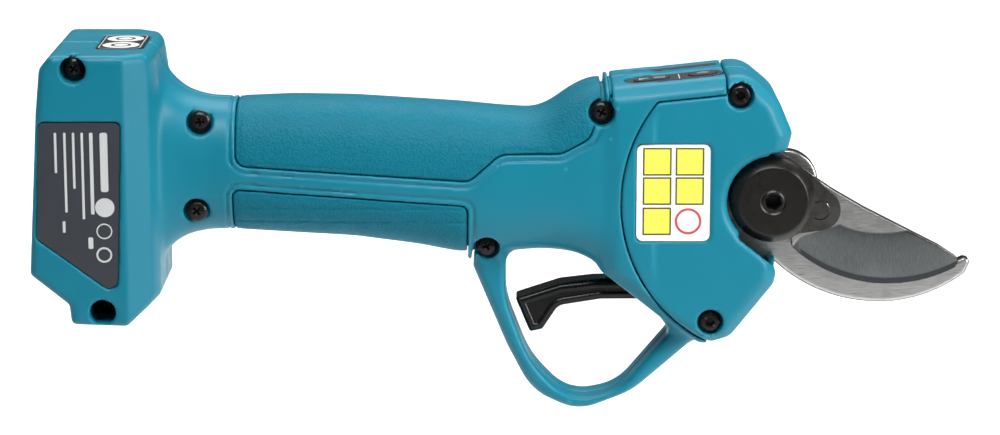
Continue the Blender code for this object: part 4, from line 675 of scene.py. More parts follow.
FILM = satin("printed_film", (0.030, 0.034, 0.042), (0.040, 0.044, 0.054), 0.42, 2600, 0.06, gloss=0.35)
DARK_FILM = satin("dark_film", (0.012, 0.012, 0.013), (0.018, 0.018, 0.019), 0.38, 2600, 0.06, gloss=0.4)
INK = satin("pale_ink", (0.50, 0.51, 0.51), (0.60, 0.61, 0.61), 0.42, 2600, 0.05)
WHITE = satin("white_vinyl", (0.74, 0.74, 0.72), (0.83, 0.83, 0.81), 0.32, 1500, 0.04)
YELLOW = satin("yellow_ink", (0.74, 0.68, 0.075), (0.82, 0.76, 0.11), 0.34, 1500, 0.04)
OLIVE = satin("dark_ink", (0.06, 0.055, 0.018), (0.09, 0.08, 0.03), 0.36, 1500, 0.04)
RED = satin("red_ink", (0.45, 0.05, 0.055), (0.55, 0.08, 0.08), 0.36, 1500, 0.04)
BOARD = satin("solder_resist", (0.014, 0.085, 0.035), (0.02, 0.12, 0.05), 0.35, 900, 0.1)
MAGNET = brushed("nickel", (0.35, 0.34, 0.32), (0.48, 0.47, 0.45), 0.28, (300, 300, 2400))
INSULATION = satin("lead_insulation", (0.20, 0.015, 0.015), (0.28, 0.03, 0.03), 0.4, 900, 0.1)

# ---------------------------------------------------------------- casing

HOUSING_LOW, HOUSING_HIGH = low_high("housing_left")
_, COVER_HIGH = low_high("head_cover_left")
MARGIN = 1.5


def screw_list(kind, count):
    """(x, z, near end of the head) of each screw."""
    found = []
    for k in range(1, count + 1):
        low, high = low_high(f"{kind}_{k}")
        found.append(((low[0] + high[0]) / 2, (low[2] + high[2]) / 2, low[1]))
    return found


CASING_SCREWS = screw_list("casing_screw", 6)
COVER_SCREWS = screw_list("cover_screw", 2)
HEAD_HEIGHT = 2.4


def posts(grid, screws):
    """The posts that the screws run in, and the collars under their heads."""
    field = None
    for x, z, head_y in screws:
        post = grid.disc(x, z, 3.45)
        collar = grid.slab(grid.disc(x, z, RECESS + 1.1), -60, head_y + HEAD_HEIGHT + 1.3)
        both = np.minimum(post, collar)
        field = both if field is None else np.minimum(field, both)
    return field


def recesses(grid, screws):
    """The lowest screw's recess stops just short of the cradle's underside."""
    made = []
    lowest = min(z for _, z, _ in CRADLE_CORNERS) + 0.95
    for x, z, head_y in screws:
        hole = np.maximum(grid.disc(x, z, RECESS), (lowest - grid.z) if x < GRIP_REAR_X else -60)
        made.append(grid.slab(hole, -60, head_y + HEAD_HEIGHT))
        made.append(grid.disc(x, z, 1.65))
    return made


def bores(grid, screws):
    """On the far half the screws end inside."""
    return [grid.slab(grid.disc(x, z, 1.65), -60, 12) for x, z, _ in screws]


def cover_zone(grid):
    tongue = grid.side(from_pivot(TONGUE))
    return without(grid.disc(*SEAM), tongue)


def roof_recesses(grid):
    return [roof_slab(grid, (0, -7.2), 28.5 + 2 * GAP, 10.5 + 2 * GAP, 4.5, 1.3),
            roof_slab(grid, (0, 8.2), 26 + 2 * GAP, 3.6 + 2 * GAP, 1.2, 1.3),
            roof_slab(grid, (0, -7.2), 26.5, 8.5, 3.5, 8)]


def bay(grid):
    """Where the battery slides in, with its rails, its roof pocket and the terminal window."""
    half = CRADLE_HALF - 3.2
    field = grid.box((-60, -half, -60), (0, half, 35.9))
    rails = np.maximum(grid.box((-10.5, -60, -26), (-7.5, 60, 34)), (half - 2.6) - np.abs(grid.y))
    field = without(field, rails)
    loft = grid.box((-60, -half + 3, 30), (-6.4, half - 3, 42))
    window = grid.box((-1, -15.9, -19.9), (4, 15.9, 27.9))
    return np.minimum(np.minimum(field, loft), window)


def housing_hollow(grid, handle, head, screws):
    hollow = np.maximum(handle + WALL + GRIP_THICKNESS, ends(grid, 14.5, PIVOT - 37))
    inner = CRADLE_HALF * 0.79 - WALL
    hollow = np.minimum(hollow, grid.box((3, -inner, -24), (19.2 - WALL, inner, 39)))
    hollow = np.minimum(hollow, head + WALL)
    for distance in (MOTOR_REAR - 5, 82.1, 71.0, 47.2):
        x, z = drive_point(distance)
        hollow = without(hollow, grid.box((x - 1, -60, z - 18), (x + 1, 60, z + 18)))
    shelf = grid.box((PIVOT - 46.1, -60, -15.5), (PIVOT - 39.1, 60, -13.5))
    return without(hollow, posts(grid, screws), shelf)


def blank_fields(grid):
    """The outer form, and the fields it is joined from."""
    handle = np.maximum(handle_field(grid), ends(grid, 14.5, PIVOT - 36.5))
    head = head_field(grid)
    guard, hole = guard_field(grid)
    blank = soft_join(handle, cradle_field(grid), 2.5)
    blank = soft_join(blank, head, 3.0)
    return np.minimum(soft_join(blank, guard, 4.0), np.float32(30)), handle, head, hole


def grip_groove(handle, zone, offset, width, depth):
    """A fine line round a grip."""
    return np.maximum(np.abs(zone - offset) - width / 2, -(handle + depth))


def housing(side, grid, fields):
    """One half of the casing, shaped on the near side and mirrored for the far one."""
    name = "casing_near" if side < 0 else "casing_far"
    node = "housing_left" if side < 0 else "housing_right"
    blank, handle, head, _ = fields
    upper, lower = grid.side(rounded(UPPER_GRIP)), grid.side(rounded(LOWER_GRIP))
    half = soft_corner(blank, grid.y + GAP / 2, 0.5)
    zone = cover_zone(grid)
    half = soft_corner(half, GAP / 2 - zone, 0.55)
    on_handle = ends(grid, GRIP_REAR_X - 3, PIVOT - 47)
    floor = -(handle + GRIP_THICKNESS + GAP)
    pocket = np.maximum(np.minimum(upper, lower) - GAP, floor)
    grooves = [np.maximum(grip_groove(handle, z, 1.9, 0.8, 0.6), on_handle) for z in (upper, lower)]
    half = without(half, np.maximum(pocket, on_handle), *grooves)
    half = without(half, housing_hollow(grid, handle, head, CASING_SCREWS))
    half = without(half, drive_bore(grid, DRIVE_RADIUS + GAP, MOTOR_REAR + 2, 20), bay(grid))
    half = without(half, *(recesses if side < 0 else bores)(grid, CASING_SCREWS))
    half = without(half, grid.box((PIVOT - 60, -5.9, -33.2), (PIVOT - 25.6, 5.9, -19.8)))
    if side < 0:
        half = without(half, *roof_recesses(grid), plate_recess(grid))
    else:
        half = without(half, far_roof_recess(grid))
    half = without(half, label_recess(grid))
    moulded(name, grid, half, "casing", NYLON, node, slot="casing", mirror=side > 0)


def far_roof_recess(grid):
    """The status strip's recess, as it lies on the mirrored half."""
    return roof_slab(grid, (0, -8.2), 26 + 2 * GAP, 3.6 + 2 * GAP, 1.2, 1.3)


def label_recess(grid):
    low, high = low_high("roof_label")
    x, width = (low[0] + high[0]) / 2, high[0] - low[0] + 2 * GAP
    height = high[1] - low[1] + 2 * GAP
    return np.maximum(grid.plan(rectangle(x, 0, width, height, 2.8)), low[2] - GAP - grid.z)


PLATE_CORNERS = ((-12.0, 25.2, 1.6), (11.4, 25.2, 1.6), (9.6, -23.2, 2.5), (6.6, -23.6, 1.5),
                 (-13.4, -8.8, 1.6))


def plate_recess(grid):
    high_y = low_high("rating_plate")[1][1] + GAP
    return grid.slab(grid.side(rounded(PLATE_CORNERS)) - GAP, -60, high_y)


def cover_cutters(grid, side):
    """Room for the lever and the blades, and the bores, seen from the near side."""
    low_y, high_y = LEVER_NEAR_Y - GAP, HOOK_HIGH[1] + GAP
    hook_low = HOOK_LOW[1] - GAP
    if side > 0:
        low_y, high_y, hook_low, hook_high = -high_y, -low_y, -high_y, -hook_low
    else:
        hook_high = high_y
    made = [grid.slab(grid.disc(PIVOT, 0, 19.3), low_y, high_y),
            grid.box((PIVOT - 20, hook_low, -28), (PIVOT + 12, hook_high, -8)),
            grid.box((PIVOT - 60, -5.9, -33.2), (PIVOT - 25.6, 5.9, -19.8)),
            grid.slab(grid.disc(*TRIGGER_PIVOT, 1.8), -13.3, 13.3)]
    return made


def head_cover(side, grid, fields):
    """One side of the head, in front of the curved seam."""
    name = "head_near" if side < 0 else "head_far"
    node = "head_cover_left" if side < 0 else "head_cover_right"
    blank, _, head, _ = fields
    half = soft_corner(blank, grid.y + GAP / 2, 0.5)
    half = soft_corner(half, cover_zone(grid) + GAP / 2, 0.55)
    hollow = without(head + WALL, posts(grid, COVER_SCREWS))
    if side < 0:
        collar = grid.slab(grid.disc(PIVOT, 0, 15.4), -60, LEVER_NEAR_Y - GAP)
    else:
        tail_x, _, tail_z = centre_of("hook_screw")
        far_y = -(HOOK_HIGH[1] + GAP)
        collar = np.minimum(grid.slab(grid.disc(PIVOT, 0, 14), -60, far_y),
                            grid.slab(grid.disc(tail_x, tail_z, 4.5), -60, far_y))
    pin_boss = grid.slab(grid.disc(*TRIGGER_PIVOT, 3.1), -60, -8.2)
    half = without(half, without(hollow, collar, pin_boss))
    half = without(half, *(recesses if side < 0 else bores)(grid, COVER_SCREWS), *cover_cutters(grid, side))
    if side < 0:
        floor = LEVER_NEAR_Y - GAP / 2
        mouth = grid.side(from_pivot(((-8.7, -10.4), (1.9, -19.9), (25, -19.9), (25, 13.2), (0, 13.2))))
        notch = soft_join(grid.disc(PIVOT, 0, 13.4), mouth, 2.0)
        label_low, label_high = low_high("safety_label")
        half = bevelled(half, -grid.slab(notch, -60, floor), 1.8, 0.5)
        middle, size = (label_low + label_high) / 2, label_high - label_low
        outline = rectangle(middle[0], middle[2], size[0] + 2 * GAP, size[2] + 2 * GAP, 1.9)
        half = without(half, grid.slab(grid.side(outline), -60, label_high[1] + GAP), *roof_recesses(grid))
    else:
        nut = -(low_high("pivot_nut")[0][1] - GAP)
        half = without(half, far_roof_recess(grid), grid.disc(PIVOT, 0, 5.3),
                       grid.slab(grid.disc(PIVOT, 0, 15 / math.sqrt(3) + 0.8), -60, nut),
                       grid.slab(grid.disc(tail_x, tail_z, 2.3), -12.3, 12))
    moulded(name, grid, half, "casing", NYLON, node, slot="casing", mirror=side > 0)


def grips(side, grid, fields):
    """The soft pads, with fine lines along the lower one."""
    _, handle, head, _ = fields
    hand, word = ("left", "near") if side < 0 else ("right", "far")
    side_plane = grid.y + GAP / 2
    for label, corners in (("upper", UPPER_GRIP), ("lower", LOWER_GRIP)):
        zone = grid.side(rounded(corners))
        pad = soft_corner(handle, zone, 0.7)
        pad = np.maximum(pad, -(handle + GRIP_THICKNESS))
        pad = np.maximum(pad, np.maximum(side_plane, ends(grid, 40, PIVOT - 45)))
        pad = without(pad, head - GAP)
        if side < 0:
            front = [screw for screw in CASING_SCREWS if screw[0] > GRIP_REAR_X]
            pad = without(pad, *(grid.disc(x, z, RECESS) for x, z, _ in front))
        inner_line = np.maximum(np.abs(zone + 1.1) - 0.25, -(handle + 0.3))
        lines = [inner_line]
        if label == "lower":
            lines += [np.maximum(np.abs(grid.z - z) - 0.3, -(handle + 0.4)) for z in (-2.3, -6.4)]
        pad = without(pad, *lines)
        name = f"grip_{label}_{hand}"
        moulded(f"pad_{label}_{word}", grid, pad, "casing", RUBBER, name, slot="grip", mirror=side > 0)


def casing():
    reach = (-CRADLE_HALF - MARGIN, 1.0)
    grid = Grid((HOUSING_LOW[0] - MARGIN, reach[0], HOUSING_LOW[2] - MARGIN),
                (COVER_HIGH[0] + MARGIN, reach[1], HOUSING_HIGH[2] + MARGIN), CELL)
    fields = blank_fields(grid)
    for side in (-1, 1):
        housing(side, grid, fields)
        grips(side, grid, fields)
        head_cover(side, grid, fields)


# ---------------------------------------------------------------- blades and trigger


def moving_blade_outline():
    edge = arc_through((9.0, -18.6), (34, -28), (55.9, -23.0), 20)
    tip = [(54.6 + 2 * math.cos(t), -21 + 2 * math.sin(t)) for t in np.radians(np.linspace(-50, 62, 6))]
    hub = [(12 * math.cos(t), 12 * math.sin(t)) for t in np.radians(np.linspace(38, 298, 40))]
    spine = [(18.5, 1.2), (28.1, -4.4), (50.5, -15.9)]
    return from_pivot(hub + [(6.9, -16.3)] + edge + tip + spine[::-1])


def hook_outline():
    turns = np.radians(np.linspace(-28, 110, 24))
    lobe = [(4.8 + 9.6 * math.cos(t), 2.8 + 9.6 * math.sin(t)) for t in turns]
    rear = [(-8, 9), (-13.5, 2), (-16.5, -20), (-14, -25), (-6, -25), (0.4, -20.6)]
    belly = arc_through((1.9, -21.4), (15, -30.1), (34, -33.9), 16)
    belly += arc_through((36, -33.9), (48.9, -30.9), (58.9, -25.1), 14)
    tip = [(60.3, -21.8), (59.8, -20.6), (58.4, -20.3)]
    return from_pivot(lobe + rear + belly + tip + arc_through((57.1, -20.9), (38, -25.4), (15, -17.0), 20))


def blade_grid(low, high):
    return Grid(low - MARGIN, high + MARGIN, FINE_CELL)


GRIND_PLACES = (6, 7.5, 10.6, 15, 20.8, 24.5, 29.5, 33.4, 37.4, 57)  # mm ahead of the pivot
GRIND_WIDTHS = (0.2, 3.5, 7.3, 11.5, 16.0, 15.7, 15.8, 16.0, 16.3, 18)
HONED = 2.0  # mm above the cutting edge


def read_points(mesh, collection="vertices", field="co"):
    values = np.empty(len(mesh.vertices) * 3, np.float32)
    getattr(mesh, collection).foreach_get(field, values)
    return values.reshape(-1, 3)


def paint(mesh, name, values):
    layer = mesh.attributes.new(name, "FLOAT", "POINT")
    layer.data.foreach_set("value", np.clip(values, 0, 1).astype(np.float32))


def paint_shaded_sides(mesh):
    """Marks the narrow sides of a blade, which get painted shade and dark reflection."""
    normals = read_points(mesh, "vertex_normals", "vector")
    # painted shade and dark reflection: strongest where the face turns away from the blade's flat sides
    paint(mesh, "rim", (0.9 - np.abs(normals[:, 1])) / 0.12)


def moving_blade():
    """Blade with its near face hollow-ground down to the cutting edge."""
    grid = blade_grid(BLADE_LOW, BLADE_HIGH)
    flat = grid.side(moving_blade_outline())
    edge = arc_through((9.0, -18.6), (34, -28), (55.9, -23.0), 24)
    edge_z = np.interp(grid.x, [PIVOT + x for x, _ in edge], [z for _, z in edge])
    width = np.interp(grid.x, [PIVOT + x for x in GRIND_PLACES], GRIND_WIDTHS)
    ground = np.clip(1 - (grid.z - edge_z) / np.maximum(width, 0.1), 0, 1) * (grid.x > PIVOT + 6)
    near = BLADE_LOW[1] + 2.6 * ground ** 1.35
    field = soft_corner(flat, grid.y - BLADE_HIGH[1], 0.1)
    field = soft_corner(field, (near - grid.y) * 0.96, 0.2)
    lug = centre_of("drive_pin")
    field = without(field, grid.disc(PIVOT, 0, 6.5), grid.disc(lug[0], lug[2], 2.9))
    made = moulded("cutting_blade", grid, field, "blade", BLADE, "moving_blade",
                   slot="blade_steel", rounds=1)
    x, y, z = read_points(made.data).T / MM
    above = z - np.interp(x, [PIVOT + p for p, _ in edge], [q for _, q in edge])
    reach = np.interp(x, [PIVOT + p for p in GRIND_PLACES], GRIND_WIDTHS)
    near_side = (y < BLADE_HIGH[1] - 0.4) & (x > PIVOT + 6.5)
    paint(made.data, "grind", ((reach - above) / 0.5 + 0.5) * near_side)
    paint(made.data, "hone", ((HONED - above) / 0.4 + 0.5) * near_side * (x > PIVOT + 9.5))
    paint_shaded_sides(made.data)


def hook_blade():
    """Counter blade with a rounded outer edge."""
    grid = blade_grid(HOOK_LOW, HOOK_HIGH)
    flat = grid.side(hook_outline())
    field = soft_corner(flat, HOOK_LOW[1] - grid.y, 0.9)
    field = soft_corner(field, grid.y - HOOK_HIGH[1], 0.9)
    tail = centre_of("hook_screw")
    field = without(field, grid.disc(PIVOT, 0, 5.3), grid.disc(tail[0], tail[2], 2.3))
    made = moulded("counter_blade", grid, field, "casing", BLADE, "hook_blade", slot="blade_steel", rounds=1)
    paint_shaded_sides(made.data)


def trigger():
    """Trigger with a rounded front and a step along each flank."""
    low, high = low_high("trigger")
    grid = blade_grid(low, high)
    flat = grid.side(rounded(from_pivot(TRIGGER_CORNERS)))
    field = soft_corner(flat, np.abs(grid.y) - 5.0, 1.8)
    flank = np.maximum(flat + 2.2, 4.6 - np.abs(grid.y))
    field = without(field, flank, grid.disc(*TRIGGER_PIVOT, 1.8))
    moulded("trigger_lever", grid, field, "trigger", BLACK_NYLON, "trigger", slot="black_plastic", rounds=1)


# ---------------------------------------------------------------- turned pieces


def trigger_spring():
    """The spring, as in the CAD, in one fixed shape; on the tool it shortens against its shelf as the
    trigger is pulled.
    """
    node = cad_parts["trigger_spring"]
    made = bpy.data.objects.new("return_spring", node.data.copy())
    placed(made, "casing", GEAR, "trigger_spring", slot="gear_steel")
    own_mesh(made)


def turned(name, profile, steps=96):
    """A profile of (radius, height) pairs, turned about local Z."""
    points, rings = [], []
    for radius, height in profile:
        if radius == 0:
            points.append((0, 0, height))
            rings.append([len(points) - 1] * steps)
            continue
        rings.append(range(len(points), len(points) + steps))
        for k in range(steps):
            angle = math.tau * k / steps
            points.append((radius * math.cos(angle), radius * math.sin(angle), height))
    faces = []
    for above, below in zip(rings, rings[1:]):
        for k in range(steps):
            after = (k + 1) % steps
            ring = (above[k], below[k], below[after], above[after])
            faces.append(tuple(dict.fromkeys(ring)))
    mesh = bpy.data.meshes.new(name)
    mesh.from_pydata([Vector(p) * MM for p in points], [], faces)
    mesh.shade_smooth()
    mesh.set_sharp_from_angle(angle=math.radians(32))
    return bpy.data.objects.new(name, mesh)


def fillet(radius, height, size, steps=5):
    """The profile's points round an outer corner."""
    angles = [math.pi / 2 * (1 - k / steps) for k in range(steps + 1)]
    return [(radius - size + size * math.cos(t), height - size + size * math.sin(t)) for t in angles]


def prism(name, sides, radius, low, high, turn=0.0, end_radius=None):
    """A solid prism about local Z, for cutting."""
    shape = bmesh.new()
    bmesh.ops.create_cone(shape, cap_ends=True, segments=sides, radius1=(end_radius or radius) * MM,
                          radius2=radius * MM, depth=(high - low) * MM)
    move = Matrix.Translation((0, 0, (low + high) / 2 * MM)) @ Matrix.Rotation(turn, 4, "Z")
    bmesh.ops.transform(shape, matrix=move, verts=shape.verts)
    mesh = bpy.data.meshes.new(name)
    shape.to_mesh(mesh)
    shape.free()
    return bpy.data.objects.new(name, mesh)


def cross(name, reach, thin, low, high):
    """The four wings of a cross recess, narrowing towards the floor."""
    shape = bmesh.new()
    for turn in (0, math.pi / 2):
        made = bmesh.ops.create_cube(shape, size=1)["verts"]
        for vert in made:
            taper = 1.0 if vert.co.z > 0 else 0.45
            x, y = vert.co.x * 2 * reach * taper, vert.co.y * 2 * thin * (0.8 if vert.co.z < 0 else 1)
            z = high if vert.co.z > 0 else low + (0.02 if turn else 0)
            c, s = math.cos(turn), math.sin(turn)
            vert.co = Vector((x * c - y * s, x * s + y * c, z)) * MM
    mesh = bpy.data.meshes.new(name)
    shape.to_mesh(mesh)
    shape.free()
    return bpy.data.objects.new(name, mesh)


def carved(obj, *cutters):
    """The object with the cutters taken away, as a plain mesh."""
    scene = bpy.context.scene.collection
    scene.objects.link(obj)
    for cutter in cutters:
        scene.objects.link(cutter)
        modifier = obj.modifiers.new(cutter.name, "BOOLEAN")
        modifier.operation = "DIFFERENCE"
        modifier.object = cutter
        modifier.use_self = True
    graph = bpy.context.evaluated_depsgraph_get()
    mesh = bpy.data.meshes.new_from_object(obj.evaluated_get(graph))
    obj.modifiers.clear()
    obj.data = mesh
    mesh.shade_smooth()
    mesh.set_sharp_from_angle(angle=math.radians(32))
    for cutter in cutters:
        bpy.data.objects.remove(cutter)
    return obj


def facing_near(obj, x, z):
    """Turns a piece made along local Z so that it faces the near side."""
    obj.rotation_euler = (math.pi / 2, 0, 0)
    obj.location = (x * MM, 0, z * MM)
    return obj


def casing_screw(k, x, z, head_y):
    top, seat = -head_y, -head_y - HEAD_HEIGHT + GAP
    dome = [(0, top), (1.2, top - 0.04), (2.1, top - 0.22), (2.8, top - 0.62), (SCREW_HEAD, top - 1.15)]
    shank = [(SCREW_HEAD, seat), (1.35, seat), (1.35, -10), (0.9, -11), (0, -11)]
    made = turned(f"cross_screw_{k}", dome + shank, 48)
    turn = math.radians(20 + 37 * k)
    recess = cross("recess", 1.75, 0.36, top - 1.9, top + 1)
    recess.rotation_euler = (0, 0, turn)
    centre = prism("recess_middle", 24, 0.95, top - 1.7, top + 1, end_radius=0.35)
    made = carved(made, recess, centre)
    placed(facing_near(made, x, z), "casing", BLACK_OXIDE, f"casing_screw_{k}", slot="black_steel")


def cover_screw(k, x, z, head_y):
    top, seat = -head_y, -head_y - HEAD_HEIGHT + GAP
    dome = [(0, top), (1.6, top), *fillet(SCREW_HEAD - 0.1, top, 1.1), (SCREW_HEAD, top - 1.3)]
    shank = [(SCREW_HEAD, seat), (1.35, seat), (1.35, -10), (0.9, -11), (0, -11)]
    made = turned(f"socket_screw_{k}", dome + shank, 48)
    made = carved(made, prism("socket", 6, 1.5, top - 1.7, top + 1, 0.3))
    placed(facing_near(made, x, z), "casing", BLACK_OXIDE, f"cover_screw_{k}", slot="black_steel")


def pivot_cap():
    """The cap over the pivot, with its wide chamfer and hex socket."""
    low, high = low_high("pivot_bolt")
    face, radius = -low[1], (high[0] - low[0]) / 2
    under = -(LEVER_NEAR_Y - GAP)
    rim = [(radius - 2.6, face - 0.02), (radius - 2.3, face - 0.2), (radius - 0.25, face - 2.5)]
    profile = [(0, face), (2.9, face), (3.4, face - 0.35), (3.9, face), (radius - 3.0, face), *rim,
               (radius, face - 3.0), (radius, under + 0.4), (radius - 0.4, under), (5, under),
               (5, -high[1] + 0.6), (4.4, -high[1]), (0, -high[1])]
    made = carved(turned("pivot_cap", profile, 128), prism("hex", 6, 2.6, face - 4.5, face + 1, 0.2))
    placed(facing_near(made, PIVOT, 0), "casing", CAP_BLACK, "pivot_bolt", slot="black_steel")


# ---------------------------------------------------------------- printed marks


def patch(name, outline, thickness, look, slot, matrix, body="casing"):
    """A thin printed shape on a surface. The outline is flat, in millimetres, and matrix places it."""
    shape = bmesh.new()
    verts = [shape.verts.new(Vector((x, y, 0)) * MM) for x, y in outline]
    face = shape.faces.new(verts)
    top = bmesh.ops.extrude_face_region(shape, geom=[face])["geom"]
    lift = Vector((0, 0, thickness)) * MM
    bmesh.ops.translate(shape, vec=lift, verts=[v for v in top if isinstance(v, bmesh.types.BMVert)])
    bmesh.ops.recalc_face_normals(shape, faces=shape.faces)
    mesh = bpy.data.meshes.new(name)
    shape.to_mesh(mesh)
    shape.free()
    made = bpy.data.objects.new(name, mesh)
    made.matrix_world = matrix
    return placed(made, body, look, slot=slot)


def loop_patch(name, outline, width, thickness, look, slot, matrix, body="casing"):
    """A printed line round an outline."""
    points = [np.array(p, float) for p in outline]
    count = len(points)
    inner = []
    for i, point in enumerate(points):
        before, after = point - points[i - 1], points[(i + 1) % count] - point
        normals = [np.array((-v[1], v[0])) / np.linalg.norm(v) for v in (before, after)]
        middle = normals[0] + normals[1]
        inner.append(point + middle / (middle @ normals[0]) * width)
    shape = bmesh.new()
    rings = [[shape.verts.new(Vector((*p, height)) * MM) for p in ring]
             for ring, height in ((points, 0), (inner, 0), (inner, thickness), (points, thickness))]
    for a, b in zip(rings, rings[1:] + rings[:1]):
        for i in range(count):
            j = (i + 1) % count
            shape.faces.new((a[i], a[j], b[j], b[i]))
    bmesh.ops.recalc_face_normals(shape, faces=shape.faces)
    mesh = bpy.data.meshes.new(name)
    shape.to_mesh(mesh)
    shape.free()
    made = bpy.data.objects.new(name, mesh)
    made.matrix_world = matrix
    return placed(made, body, look, slot=slot)


def on_near_side(x, y, z):
    """Local X forward, local Y up and local Z towards the near side."""
    return Matrix.Translation(Vector((x, y, z)) * MM) @ Matrix.Rotation(math.pi / 2, 4, "X")


def on_roof(height=0.0):
    place = Matrix.Translation(Vector((ROOF_POINT[0], 0, ROOF_POINT[1])) * MM)
    return place @ Matrix.Rotation(-ROOF_SLOPE, 4, "Y") @ Matrix.Translation(Vector((0, 0, height)) * MM)


def circle(x, y, radius, steps=32):
    turns = np.arange(steps) * math.tau / steps
    return [(x + radius * math.cos(t), y + radius * math.sin(t)) for t in turns]


def safety_label():
    """A plain sticker with blocks of colour where a printed one has its pictures."""
    low, high = low_high("safety_label")
    x, z = (low[0] + high[0]) / 2, (low[2] + high[2]) / 2
    at = on_near_side(x, low[1], z)
    size = 8.3
    for k, (cx, cz) in enumerate(((-4.75, 9.3), (4.75, 9.3), (-4.75, 0.6), (4.75, 0.6), (-4.75, -8.4))):
        square = rectangle(cx, cz, size, size - 0.1, 0)
        patch(f"sticker_field_{k}", square, 0.03, YELLOW, "white_label", at)
        loop_patch(f"sticker_frame_{k}", square, 0.45, 0.045, OLIVE, "white_label", at)
    loop_patch("sticker_ring", circle(4.4, -8.4, 3.9, 48), 0.7, 0.04, RED, "white_label", at)


def rating_plate():
    """Plain bars and a disc, with no lettering."""
    low, _ = low_high("rating_plate")
    at = on_near_side(0, low[1], 0)
    bars = ((6.6, 22.4, 5.0, 2.2), (3.0, 22.4, -1.6, 1.0), (0.4, 22.4, -3.0, 0.7), (-2.1, 22.4, 6.0, 0.7),
            (-4.6, 22.4, -1.0, 0.7), (-7.3, 22.4, 10.6, 0.7), (2.2, -8.4, -11.8, 1.4),
            (-5.4, -3.6, -7.0, 0.8))
    for k, (x, top, bottom, wide) in enumerate(bars):
        bar = rectangle(x, (top + bottom) / 2, wide, top - bottom, wide * 0.3)
        patch(f"plate_bar_{k}", bar, 0.03, INK, "plate_grey", at)
    patch("plate_disc", circle(6.5, 0.4, 2.8), 0.03, INK, "plate_grey", at)
    loop_patch("plate_ring_1", circle(6.2, -6.6, 2.3), 0.35, 0.03, INK, "plate_grey", at)
    loop_patch("plate_ring_2", circle(6.0, -13.6, 2.3), 0.55, 0.03, INK, "plate_grey", at)


def roof_label():
    low, high = low_high("roof_label")
    x = (low[0] + high[0]) / 2
    at = Matrix.Translation(Vector((x, 0, high[2])) * MM)
    width, height = high[0] - low[0], high[1] - low[1]
    rim = rectangle(0, 0, width - 1.2, height - 1.2, 2.0)
    loop_patch("roof_rim", rim, 0.25, 0.03, INK, "white_label", at)
    for k, y in enumerate((-6.1, 6.1)):
        patch(f"roof_disc_{k}", circle(0, y, 5.4, 40), 0.04, WHITE, "white_label", at)
        loop_patch(f"roof_ring_{k}", circle(0, y, 3.0, 32), 0.9, 0.06, FILM, "white_label", at)


def panel_marks():
    """Lamps, a divider and simple outlines on the keys."""
    flat, proud = on_roof(0.0), on_roof(0.35)
    ways = {"mode_button": ((-8.9, -7.2), (-4.2, -7.2)), "power_button": ((8.5, -7.2),)}
    for body, centres in ways.items():
        for k, (x, y) in enumerate(centres):
            mark = [(x + 1.7 * math.cos(t), y + 1.0 * math.sin(t)) for t in np.arange(20) * math.tau / 20]
            if body == "mode_button" and k == 0:
                mark = [(x - 1.3, y - 1.0), (x + 1.6, y), (x - 1.3, y + 1.0)]
            loop_patch(f"{body}_mark_{k}", mark, 0.28, 0.03, INK, "plate_grey", proud, body)
    for k, x in enumerate((-4.4, 6.4)):
        patch(f"lamp_{k}", circle(x, -3.2, 0.45, 16), 0.04, INK, "plate_grey", flat)
    patch("panel_divider", rectangle(1.5, -7.2, 0.3, 7.4, 0), 0.03, INK, "plate_grey", flat)


# ---------------------------------------------------------------- the CAD nodes that stay


def dress(looks):
    for look, names in looks.items():
        for name in names:
            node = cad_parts[name]
            node.data.materials.clear()
            node.data.materials.append(bpy.data.materials[look])


def soften(names, width, segments=2):
    """Rounded edges on a CAD node that shows."""
    for name in names:
        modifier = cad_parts[name].modifiers.new("edge", "BEVEL")
        modifier.width = width * MM
        modifier.segments = segments
        modifier.angle_limit = math.radians(35)
        modifier.harden_normals = True


def kept_nodes():
    gears = ["ring_gear", "carrier_1", "output_shaft", "bevel_pinion", "sun_gear_1", "stator",
             "output_bearing"]
    gears += [f"planet_{stage}_{letter}" for stage in (1, 2) for letter in "abc"]
    dress({
        GEAR.name: gears,
        BLUED.name: ["drive_lever", "drive_pin", "pivot_nut", "trigger_pin"],
        BRASS.name: ["pivot_bush", "contact_positive", "contact_negative"],
        ALUMINIUM.name: ["bearing_holder", "motor_end_bell"],
        BLACK_OXIDE.name: ["motor_can", "hook_screw"],
        BLACK_NYLON.name: ["terminal_block"],
        BOARD.name: ["controller_board", "key_board", "sensor_board"],
        MAGNET.name: ["rotor"],
        INSULATION.name: ["motor_lead_u", "motor_lead_v", "motor_lead_w"],
        FILM.name: ["rating_plate", "control_panel", "status_strip", "mode_button", "power_button"],
        WHITE.name: ["safety_label"],
        DARK_FILM.name: ["roof_label"],
    })
    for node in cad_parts.values():
        if not node.hide_render:
            node.data.shade_smooth()
            node.data.set_sharp_from_angle(angle=math.radians(30))
    soften(["rating_plate", "mode_button", "power_button"], 0.12)


# ---------------------------------------------------------------- stage, light and camera


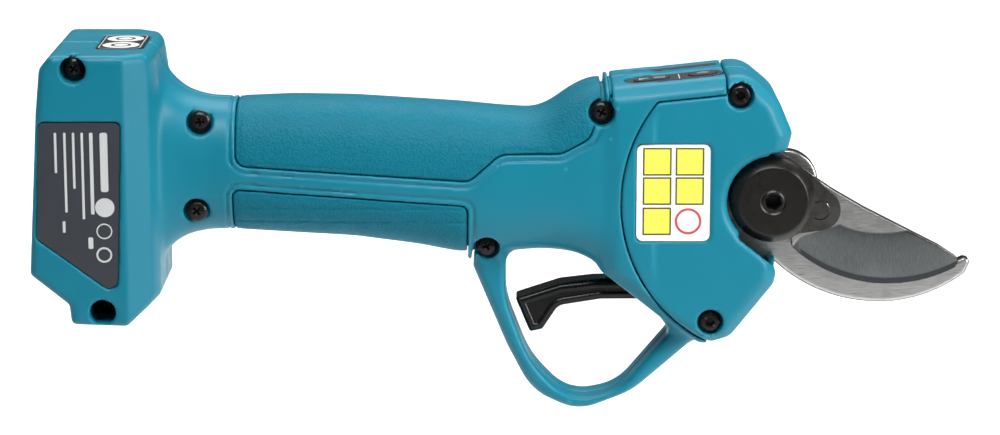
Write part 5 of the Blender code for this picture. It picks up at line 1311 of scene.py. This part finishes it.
def stage():
    low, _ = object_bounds()
    floor = bpy.data.meshes.new("floor")
    size = 6.0
    corners = [(-size, -size, 0), (size, -size, 0), (size, size, 0), (-size, size, 0)]
    floor.from_pydata(corners, [], [(0, 1, 2, 3)])
    made = bpy.data.objects.new("floor", floor)
    made.location = (low.x, 0, low.z - 0.06)
    look = Look("floor_paper")
    look.to("Base Color", look.mixed(look.noise(3), (0.87, 0.87, 0.87), (0.9, 0.9, 0.9)))
    look.set(Roughness=0.9)
    floor.materials.append(look.material)
    bpy.context.scene.collection.objects.link(made)
    made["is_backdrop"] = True


def lamp(name, place, aim, size, power, spread=180):
    """A softbox. A spread under 180 degrees is a grid over its front."""
    data = bpy.data.lights.new(name, "AREA")
    data.shape, data.size, data.size_y = "RECTANGLE", size[0], size[1]
    data.energy, data.spread = power, math.radians(spread)
    made = bpy.data.objects.new(name, data)
    made.location = place
    made.rotation_euler = (Vector(aim) - Vector(place)).to_track_quat("-Z", "Y").to_euler()
    bpy.context.scene.collection.objects.link(made)


def lights():
    low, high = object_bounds()
    middle = (low + high) / 2
    lamp("key", middle + Vector((-0.02, -0.34, 0.5)), middle, (0.55, 0.2), 0.85, 75)
    lamp("fill", middle + Vector((-0.5, -1.1, 0.35)), middle, (0.5, 0.5), 0.25)
    lamp("edge", middle + Vector((0.6, -0.32, 0.2)), middle + Vector((0.05, 0, 0)), (0.2, 0.5), 1.3, 90)
    lamp("backdrop", middle + Vector((0, 0.85, 1.1)), middle + Vector((0, 0.75, 0)), (2.6, 1.2), 20, 105)
    world = bpy.data.worlds.new("studio")
    world.use_nodes = True
    background = world.node_tree.nodes["Background"]
    background.inputs["Color"].default_value = (1, 1, 1, 1)
    background.inputs["Strength"].default_value = 0.08
    bpy.context.scene.world = world
    bpy.context.scene.view_settings.view_transform = "Standard"


CAMERA_DISTANCE = 0.95
CAMERA_ELEVATION = math.radians(12)
CAMERA_AIM = Vector((PIVOT * MM - 0.0799, 0, -0.0083))


def camera():
    data = bpy.data.cameras.new("camera")
    data.lens, data.sensor_width = 114.8, 36
    made = bpy.data.objects.new("camera", data)
    back = Vector((0, -math.cos(CAMERA_ELEVATION), math.sin(CAMERA_ELEVATION)))
    made.location = CAMERA_AIM + back * CAMERA_DISTANCE
    made.rotation_euler = (-back).to_track_quat("-Z", "Y").to_euler()
    bpy.context.scene.collection.objects.link(made)
    bpy.context.scene.camera = made


camera()
lights()
stage()
casing()
moving_blade()
hook_blade()
trigger()
trigger_spring()
for number, screw in enumerate(CASING_SCREWS, 1):
    casing_screw(number, *screw)
for number, screw in enumerate(COVER_SCREWS, 1):
    cover_screw(number, *screw)
pivot_cap()
kept_nodes()
safety_label()
rating_plate()
roof_label()
panel_marks()
